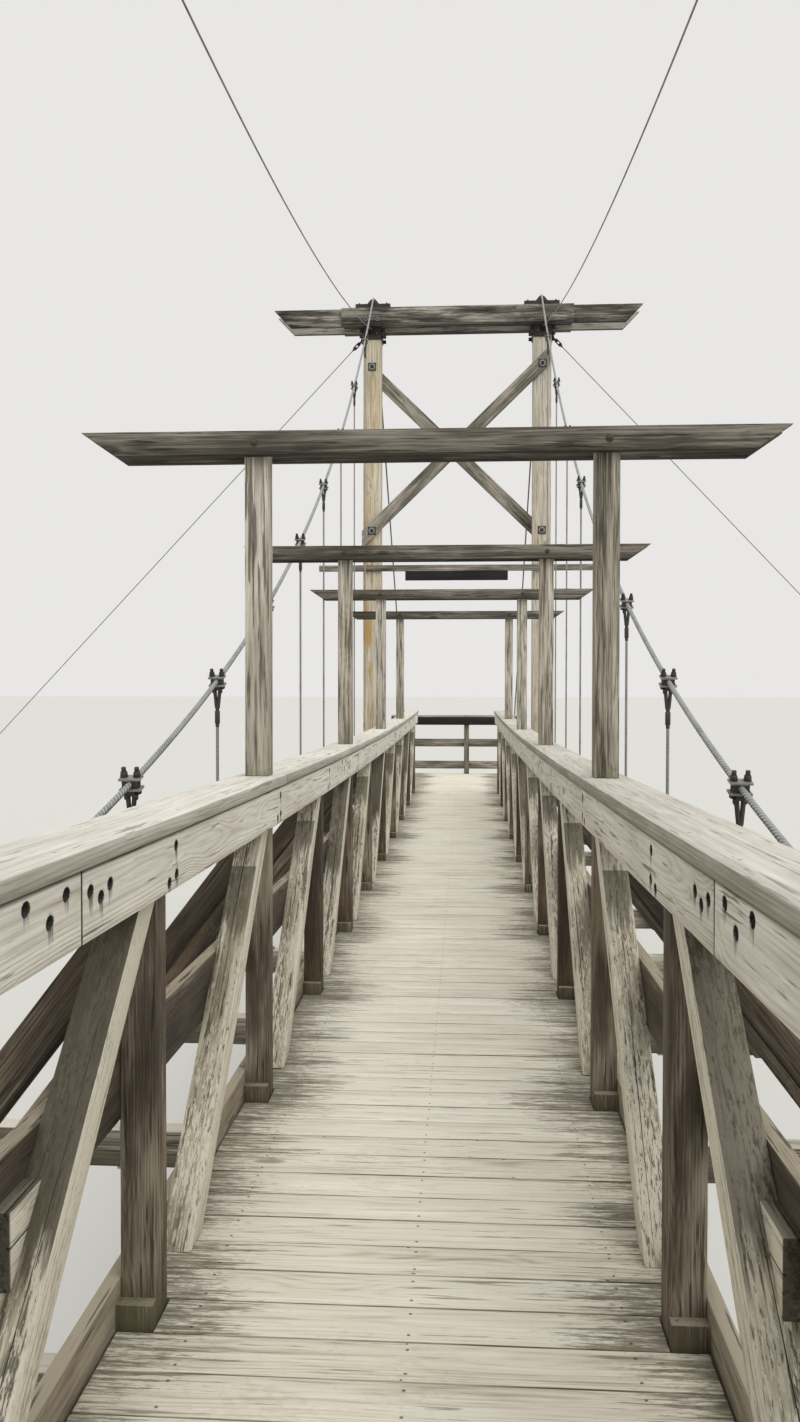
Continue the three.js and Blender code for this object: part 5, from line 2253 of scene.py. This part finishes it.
@dataclass
class MainCable:
    """One main cable over both saddles to its anchors, with clamps and hanger rods."""

    finishes: Finishes
    side: Side
    radius: float = mm(12.6)
    clamp_scale: float = 0.9
    rod_radius: float = mm(8)
    rod_top: float = mm(226)
    saddle_plate: float = mm(82)
    saddle_half: float = mm(252)
    saddle_reach: float = mm(160)
    horn_half: float = mm(100)
    bolt_spot: Pair = (mm(200), mm(120))
    seat: float = mm(9418)
    anchor_top: float = mm(450)
    socket_reach: float = mm(260)

    def build(self) -> None:
        """Build the rope and its steelwork."""
        word, slot = self.side.word, "cable_steel"
        rope = Rope(self.radius).run(self._line())
        settle(f"{word}_main_rope", [rope], self.finishes.rope, slot, f"{word}_main_cable")
        settle(f"{word}_cable_clamps", self._clamps(), None, slot)
        settle(f"{word}_hanger_rods", self._rods(), None, slot)
        settle(f"{word}_saddles_and_sockets", self._ends(), None, slot)

    def _x(self, index: float) -> float:
        """Place across the deck at a place counted in panels."""
        return self.side.value * LAYOUT.cable_x(index)

    def _line(self) -> list[Point]:
        """Points of the whole cable, from the near anchor to the far one.

        Returns:
            The points.
        """
        steps = 24
        half = []
        for number in range(1, int(LAYOUT.half_panels * steps)):
            index = number / steps
            if index < LAYOUT.span_end:
                half.append((self._x(index), index * LAYOUT.panel, LAYOUT.cable_height(index)))
        x = self.side.value * LAYOUT.cable_tower_x
        angle = LAYOUT.saddle_angle
        radius = LAYOUT.saddle_reach / math.sin(angle)
        base = LAYOUT.cable_height(LAYOUT.span_end) - radius * math.cos(angle)
        bends = 6
        for number in range(2 * bends + 1):
            turn = angle * (number / bends - 1)
            half.append((x, LAYOUT.half_span + radius * math.sin(turn), base + radius * math.cos(turn)))
        reach = self.socket_reach
        half.append((x, LAYOUT.anchor_y - reach, LAYOUT.anchor_eye + reach * math.tan(angle)))
        middle = (self._x(0), 0.0, LAYOUT.cable_height(0))
        return [(px, -py, pz) for px, py, pz in reversed(half)] + [middle] + half

    def _clamp(self) -> Mesh:
        """The clamp's pattern: two plates round a dark core, with two bolts.

        Returns:
            The pattern.
        """
        dark, light = self.finishes.forged, self.finishes.galvanised
        parts = [
            (light, (92, 62, 11), (0, 0, 22)),
            (light, (92, 62, 11), (0, 0, -24)),
            (dark, (64, 60, 36), (0, 0, 0)),
            (dark, (40, 46, 26), (0, 0, -40)),
        ]
        for x in (-28, 28):
            parts += [
                (dark, 8, (x, 0, -50), (x, 0, 62), 10),
                (dark, 18, (x, 0, 27), (x, 0, 52), 6, 0.82),
                (dark, 11, (x, 0, 51), (x, 0, 71), 6, 0.95),
                (dark, 15, (x, 0, -46), (x, 0, -29), 6),
            ]
        return FORGE.fitting("cable_clamp", *parts)

    def _fork(self) -> Mesh:
        """The fork and sleeve under a clamp; the origin is the cable's centre.

        Returns:
            The pattern.
        """
        dark = self.finishes.forged
        parts = []
        for way in (-1, 1):
            parts.append((dark, 10, (way * 13, 0, -46), (way * 5, 0, -142), 8, 0.85))
            parts.append((dark, 13, (way * 25, 0, -52), (way * 8, 0, -52), 8))
        parts += [
            (dark, 12, (0, 0, -134), (0, 0, -152), 10, 0.85),
            (dark, 14, (0, 0, -156), (0, 0, -222), 6),
            (dark, 10, (0, 0, -146), (0, 0, -240), 10),
        ]
        return FORGE.fitting("hanger_fork", *parts)

    def _foot(self) -> Mesh:
        """The plates and nuts of a rod's foot, over and under a beam; the origin is at deck level.

        Returns:
            The pattern.
        """
        light, dark = self.finishes.galvanised, self.finishes.forged
        top = -LAYOUT.beam_drop / mm(1)
        low = top - LAYOUT.beam_depth / mm(1)
        return FORGE.fitting(
            "hanger_foot",
            (light, (78, 74, 10), (0, 0, top + 6)),
            (dark, 15, (0, 0, top + 10), (0, 0, top + 26), 6),
            (light, (96, 76, 10), (0, 0, low - 5)),
            (dark, 15, (0, 0, low - 26), (0, 0, low - 10), 6),
            (dark, 8, (0, 0, low - 44), (0, 0, low - 20), 8),
        )

    def _clamps(self) -> list[Object]:
        """A clamp and a fork at every panel point between the towers.

        Returns:
            The clamps and forks.
        """
        clamp, fork = self._clamp(), self._fork()
        pieces = []
        for index in range(1 - LAYOUT.half_panels, LAYOUT.half_panels):
            centre = Matrix.Translation((self._x(index), index * LAYOUT.panel, LAYOUT.cable_height(index)))
            tilt = Matrix.Rotation(math.atan(LAYOUT.cable_slope(index)), 4, "X")
            pieces.append(place_mesh(clamp, centre @ tilt @ Matrix.Scale(self.clamp_scale, 4)))
            pieces.append(place_mesh(fork, centre))
        return pieces

    def _rods(self) -> list[Object]:
        """Hanger rods from the forks down to their feet at the floor beams.

        Returns:
            The rods and feet.
        """
        foot = self._foot()
        pieces = []
        for index in range(1 - LAYOUT.half_panels, LAYOUT.half_panels):
            x, y, deck = self._x(index), index * LAYOUT.panel, LAYOUT.level(index)
            start, stop = (x, y, deck - LAYOUT.beam_drop), (x, y, LAYOUT.cable_height(index) - self.rod_top)
            pieces.append(FORGE.bar(self.rod_radius, start, stop, self.finishes.galvanised, 10))
            pieces.append(place_mesh(foot, Matrix.Translation((x, y, deck))))
        return pieces

    def _ends(self) -> list[Object]:
        """Saddles on the cap beams, and sockets at the anchors.

        Returns:
            The saddles and sockets.
        """
        x = self.side.value * LAYOUT.cable_tower_x
        places = (
            (self._saddle(), LAYOUT.half_span, self.seat),
            (self._socket(LAYOUT.saddle_angle), LAYOUT.anchor_y, LAYOUT.anchor_eye),
        )
        return [
            place_mesh(mesh, end.turn @ Matrix.Translation((end.value * x, y, z)))
            for end in End
            for mesh, y, z in places
        ]

    def _saddle(self) -> Mesh:
        """A base plate with bolts, and a horn whose top is cut to the cable's bend.

        Returns:
            The pattern.
        """
        dark = self.finishes.black_steel
        angle = LAYOUT.saddle_angle
        low = self.saddle_plate
        radius = LAYOUT.saddle_reach / math.sin(angle)
        crown = LAYOUT.cable_height(LAYOUT.span_end) - self.seat + radius * (1 - math.cos(angle))
        under = radius - self.radius + mm(3)
        cuts = []
        for number in range(-3, 4):
            sin, cos = math.sin(angle * number / 3.5), math.cos(angle * number / 3.5)
            spot = (0.0, under * sin, crown - radius + under * cos)
            cuts.append(Cut(spot, (0.0, round(sin, 6), round(cos, 6))))
        for way in (-1, 1):
            cuts.append(Cut((way * self.horn_half, 0.0, low), (float(way), 0.0, 0.78)))
        height = crown - low + mm(4)
        plate = (2 * self.saddle_half, 2 * self.saddle_reach, low)
        horn = (2 * self.horn_half, 2 * LAYOUT.saddle_reach, height)
        parts = [
            FORGE.block(plate, (0, 0, low / 2), dark),
            FORGE.block(horn, (0, 0, low + height / 2 - mm(2)), dark, cuts),
        ]
        across, along = self.bolt_spot
        for x in (-across, across):
            for y in (-along, along):
                for size, start, stop, sides in ((16, -2, 16, 6), (8, 14, 28, 8)):
                    ends = (x, y, low + mm(start)), (x, y, low + mm(stop))
                    parts.append(FORGE.bar(mm(size), *ends, dark, sides))
        return FORGE.pattern("saddle", parts)

    def _socket(self, angle: float) -> Mesh:
        """A cone socket, its fork, pin and base plate; the origin is the pin's middle.

        Args:
            angle: The backstay's slope in radians.

        Returns:
            The pattern.
        """
        dark, light = self.finishes.forged, self.finishes.galvanised
        base = (LAYOUT.anchor_eye - self.anchor_top) / mm(1)

        def at(distance: float, x: float = 0.0) -> Point:
            """A point on the cable's line."""
            return (x, -distance * math.cos(angle), distance * math.sin(angle))

        parts = [
            (light, 34, at(150), at(330), 14, 0.6),
            (light, 30, at(110), at(160), 14),
            (dark, 16, (-62, 0, 0), (62, 0, 0), 10),
            (dark, (26, 92, base + 42), (0, 0, (42 - base) / 2)),
            (light, (216, 216, 16), (0, 0, 8 - base)),
        ]
        for way in (-1, 1):
            parts.append((light, 13, at(-24, way * 32), at(140, way * 26), 8))
            for y in (-84, 84):
                parts.append((dark, 15, (way * 84, y, 15 - base), (way * 84, y, 31 - base), 6))
        return FORGE.fitting("anchor_socket", *parts)


@dataclass
class Ties:
    """Thin cables from tower to tower, and the side guys with their turnbuckles."""

    finishes: Finishes
    tie_x: float = mm(1236)
    tie_mid_x: float = mm(1262)
    tie_end: float = mm(9140)
    tie_setback: float = mm(130)
    tie_low: float = mm(7020)
    radius: float = mm(6)
    guy_top: float = mm(9020)
    guy_eye: float = mm(30)
    guy_start: float = mm(200)
    guy_foot: float = mm(9880)
    leg_face: float = mm(1358.8)

    def build(self) -> None:
        """Build both ties and all four guys."""
        turnbuckle = self._turnbuckle()
        for side in Side:
            self._tie(side)
            for end in End:
                self._guy(side, end, turnbuckle)

    def _tie(self, side: Side) -> None:
        """A sagging tie between the towers, with its eyes.

        Args:
            side: The side of the deck.
        """
        reach = LAYOUT.half_span - self.tie_setback
        steps = 60
        line = []
        for number in range(-steps, steps + 1):
            part = number / steps
            out = self.tie_mid_x + (self.tie_x - self.tie_mid_x) * part * part
            level = self.tie_low + (self.tie_end - self.tie_low) * part * part
            line.append((side.value * out, reach * part, level))
        rope = Rope(self.radius, 8, mm(120)).run(line)
        settle(f"{side.word}_tie_rope", [rope], self.finishes.wire, "cable_steel", f"{side.word}_tie_cable")
        eye = self._eye(math.atan(2 * (self.tie_end - self.tie_low) / reach))
        eyes = []
        for end in End:
            at_leg = Matrix.Translation((end.value * side.value * self.tie_x, reach, self.tie_end))
            eyes.append(place_mesh(eye, end.turn @ at_leg))
        settle(f"{side.word}_tie_eyes", eyes, None, "cable_steel")

    def _eye(self, slope: float) -> Mesh:
        """An eye bolt and its plate on the far tower; the tie falls away towards mid-span.

        Args:
            slope: The tie's slope in radians.

        Returns:
            The pattern.
        """
        dark = self.finishes.forged
        eye, neck, clip, tail = ((0, -d * math.cos(slope), -d * math.sin(slope)) for d in (60, 205, 210, 265))
        return FORGE.fitting(
            "tie_eye",
            (dark, (84, 12, 96), (0, -6, -30)),
            (dark, 10, (0, 0, 0), eye, 8),
            (dark, 17, eye, clip, 8),
            (dark, 11, neck, tail, 8, 0.7),
        )

    def _turnbuckle(self) -> Mesh:
        """A turnbuckle along +Z.

        Returns:
            The pattern.
        """
        dark = self.finishes.black_steel
        return FORGE.fitting(
            "turnbuckle",
            (dark, 22, (0, 0, 42), (0, 0, 72), 8),
            (dark, 22, (0, 0, 152), (0, 0, 178), 8, 0.8),
            (dark, 12, (0, 0, -8), (0, 0, 92), 8),
            (dark, 10, (0, 0, 126), (0, 0, 202), 8),
            (dark, (12, 24, 102), (-19, 0, 112)),
            (dark, (12, 24, 102), (19, 0, 112)),
        )

    def _guy(self, side: Side, end: End, turnbuckle: Mesh) -> None:
        """One side guy from its leg down to the ground.

        Args:
            side: The side of the deck.
            end: The end of the bridge.
            turnbuckle: The turnbuckle's pattern.
        """
        dark = self.finishes.black_steel
        way = side.value
        y = end.value * LAYOUT.half_span
        face = way * self.leg_face
        top = Vector((face + way * self.guy_eye, y, self.guy_top))
        foot = Vector((way * self.guy_foot, y, mm(60)))
        line = (foot - top).normalized()
        name = f"{end.word}_{side.word}"
        rope = Rope(self.radius, 8, mm(900)).run([tuple(top + line * self.guy_start), tuple(foot)])
        settle(f"{name}_guy_rope", [rope], self.finishes.wire, "cable_steel", f"{name}_side_guy")
        turn = UP.rotation_difference(line).to_matrix().to_4x4()
        lug = FORGE.fitting(
            "guy_lug",
            (dark, (14, 118, 178), (way * 7, 0, 0)),
            (dark, (40, 14, 50), (way * 26, 0, 0)),
            (dark, 11, (way * 30, -26, 0), (way * 30, 26, 0), 8),
        )
        plate = FORGE.fitting(
            "guy_plate",
            (dark, (178, 178, 14), (0, 0, 7)),
            (dark, (38, 22, 82), (0, 0, 48)),
        )
        steel = [
            place_mesh(turnbuckle, Matrix.Translation(top) @ turn),
            place_mesh(lug, Matrix.Translation((face, y, self.guy_top))),
            place_mesh(plate, Matrix.Translation((foot.x, y, 0.0))),
        ]
        settle(f"{name}_guy_fittings", steel, None, "cable_steel")


@dataclass
class Anchors:
    """Concrete blocks that hold the backstays."""

    finishes: Finishes

    def build(self) -> None:
        """Build the four blocks with eased edges and slightly uneven faces."""
        for end in End:
            for side in Side:
                node = f"{end.word}_{side.word}_anchor_block"
                low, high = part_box(node)
                block = new_cube()
                with edit_mode(block):
                    bpy.ops.transform.resize(value=tuple(high - low))
                    bpy.ops.transform.translate(value=tuple((high + low) / 2))
                    bpy.ops.mesh.bevel(offset=mm(22), segments=2, affect="EDGES")
                    bpy.ops.mesh.select_all(action="SELECT")
                    bpy.ops.mesh.subdivide(number_cuts=3)
                    bpy.ops.transform.vertex_random(offset=mm(1.2), seed=3)
                smooth(block, 40)
                settle(f"{node}_cast", [block], self.finishes.concrete, "anchor_concrete", node)


@dataclass
class Landing(AtTower):
    """The end platform on its posts, with the railing across its far end."""

    level: float = LAYOUT.deck_height
    start: float = mm(150)
    length: float = mm(3600)
    half: float = mm(1200)
    railing_height: float = mm(1060)
    centre_post: float = mm(158)
    rail_levels: Pair = (mm(85), mm(485))
    pitch: float = mm(150)
    board: Point = (mm(2400), mm(142), mm(38))
    rail_depth: float = mm(140)
    joist: Pair = (mm(76), mm(184))
    bearer_depth: float = mm(164)
    post_foot: float = mm(144)

    def build(self) -> None:
        """Build the platform and its railing."""
        word, coats = self.end.word, self.finishes
        settle(f"{word}_landing_boards", self._boards(), coats.deck, "deck_timber")
        settle(f"{word}_landing_frame", self._frame(), coats.framing, "frame_timber", f"{word}_landing")
        settle(f"{word}_end_rails", self._railing(), None, "rail_timber", f"{word}_end_railing")

    def _boards(self) -> list[Object]:
        """Cross boards of the platform.

        Returns:
            The boards.
        """
        timbers = []
        for number in range(int(self.length / self.pitch)):
            y = self.start + (number + 0.5) * self.pitch
            pattern = MILL.timber(*self.board, arris=mm(3), variant=number % 4)
            timbers.append(self._lay(pattern, (0.0, y, mm(-20))))
        return timbers

    def _frame(self) -> list[Object]:
        """Joists, bearers and posts down to the ground.

        Returns:
            The timbers.
        """
        joist = MILL.timber(self.length - mm(40), *self.joist)
        middle = self.start + self.length / 2
        low = -self.board[2] - self.joist[1]
        outer = self.half - mm(100)
        timbers = [
            self._lay(joist, (x, middle, low + self.joist[1] / 2), ALONG)
            for x in (-outer, 0.0, outer)
        ]
        bearer = MILL.timber(2 * self.half - mm(40), LAYOUT.post, self.bearer_depth)
        height = LAYOUT.deck_height + low - self.post_foot
        post = MILL.timber(height, self.rail_depth, self.rail_depth, arris=mm(6))
        for y in (self.start + mm(200), self.start + self.length - mm(200)):
            timbers.append(self._lay(bearer, (0.0, y, low - self.bearer_depth / 2)))
            for way in (-1, 1):
                centre = (way * (self.half - mm(250)), y, height / 2 - LAYOUT.deck_height)
                timbers.append(self._lay(post, centre, UP, ALONG))
        return timbers

    def _railing(self) -> list[Object]:
        """Three posts, a cap with a plank under it in front, and two rails behind.

        Returns:
            The timbers.
        """
        grey = self.finishes.brace
        y = self.start + self.length - LAYOUT.post
        height = self.railing_height - LAYOUT.plank
        post = MILL.timber(height, LAYOUT.post, LAYOUT.post)
        outer = self.half - LAYOUT.post / 2
        timbers = [
            self._lay(post, (x, y, height / 2), UP, ALONG, finish=grey)
            for x in (-outer, self.centre_post * self.end.value, outer)
        ]
        cap = MILL.timber(2 * self.half, self.rail_depth, LAYOUT.plank)
        timbers.append(self._lay(cap, (0.0, y, height + LAYOUT.plank / 2), finish=self.finishes.cap))
        rail = MILL.timber(2 * self.half, LAYOUT.plank, self.rail_depth)
        reach, half = (LAYOUT.post + LAYOUT.plank) / 2, self.rail_depth / 2
        spots = [(y - reach, height - half, self.finishes.black_board)]
        spots += [(y + reach, low + half, grey) for low in self.rail_levels]
        for place, level, finish in spots:
            timbers.append(self._lay(rail, (0.0, place, level), finish=finish))
        return timbers


@dataclass
class Studio:
    """The pale floor, the soft light and the camera."""

    camera_place: Point = (0.0643, 0.196, 1.955)
    yaw: float = math.radians(3.485)
    pitch: float = math.radians(-1.127)
    roll: float = math.radians(0.067)
    lens: float = 27.02
    sensor: float = 36.0
    floor_size: float = 600.0

    def build(self) -> None:
        """Set the stage."""
        self._camera()
        self._floor()
        self._light()

    def _camera(self) -> None:
        """The camera, standing on the deck a little past mid-span."""
        data = bpy.data.cameras.new("view")
        data.sensor_fit = "VERTICAL"
        data.sensor_height = self.sensor
        data.lens = self.lens
        data.clip_start = 0.02
        data.clip_end = 500.0
        camera = bpy.data.objects.new("view", data)
        turn = (
            Matrix.Rotation(self.yaw, 4, "Z")
            @ Matrix.Rotation(math.pi / 2 + self.pitch, 4, "X")
            @ Matrix.Rotation(self.roll, 4, "Z")
        )
        camera.matrix_world = Matrix.Translation(self.camera_place) @ turn
        bpy.context.scene.collection.objects.link(camera)
        bpy.context.scene.camera = camera

    def _floor(self) -> None:
        """A plain pale floor at ground level."""
        clear_selection()
        bpy.ops.mesh.primitive_plane_add(size=self.floor_size, location=(0, 0, -0.001))
        floor = bpy.context.view_layer.objects.active
        floor.name = "studio_floor"
        material = bpy.data.materials.new("pale_floor")
        material.use_nodes = True
        surface = material.node_tree.nodes["Principled BSDF"]
        surface.inputs["Base Color"].default_value = hexed("c9c8c3")
        surface.inputs["Roughness"].default_value = 0.95
        floor.data.materials.append(material)

    def _light(self) -> None:
        """Even light from all round and one broad soft key from above."""
        world = bpy.data.worlds.new("even_light")
        world.use_nodes = True
        backdrop = world.node_tree.nodes["Background"]
        backdrop.inputs["Color"].default_value = hexed("eae9e7")
        backdrop.inputs["Strength"].default_value = 0.98
        bpy.context.scene.world = world
        key = bpy.data.lights.new("soft_key", "SUN")
        key.energy = 1.7
        key.angle = math.radians(60)
        lamp = bpy.data.objects.new("soft_key", key)
        tilt, lean = math.radians(20), math.radians(25)
        lamp.matrix_world = Matrix.Rotation(tilt, 4, "Y") @ Matrix.Rotation(lean, 4, "X")
        bpy.context.scene.collection.objects.link(lamp)


def main() -> None:
    """Build the bridge, sub-assembly by sub-assembly."""
    bpy.context.scene.view_settings.view_transform = "Standard"
    Studio().build()
    finishes = Finishes()
    DeckBoards(finishes).build()
    FloorFraming(finishes).build()
    for side in Side:
        SideTruss(finishes, side).build()
        Handrail(finishes, side).build()
        MainCable(finishes, side).build()
    Gates(finishes).build()
    Ties(finishes).build()
    Anchors(finishes).build()
    for end in End:
        Tower(finishes, end).build()
        Landing(finishes, end).build()


if __name__ == "__main__":
    main()
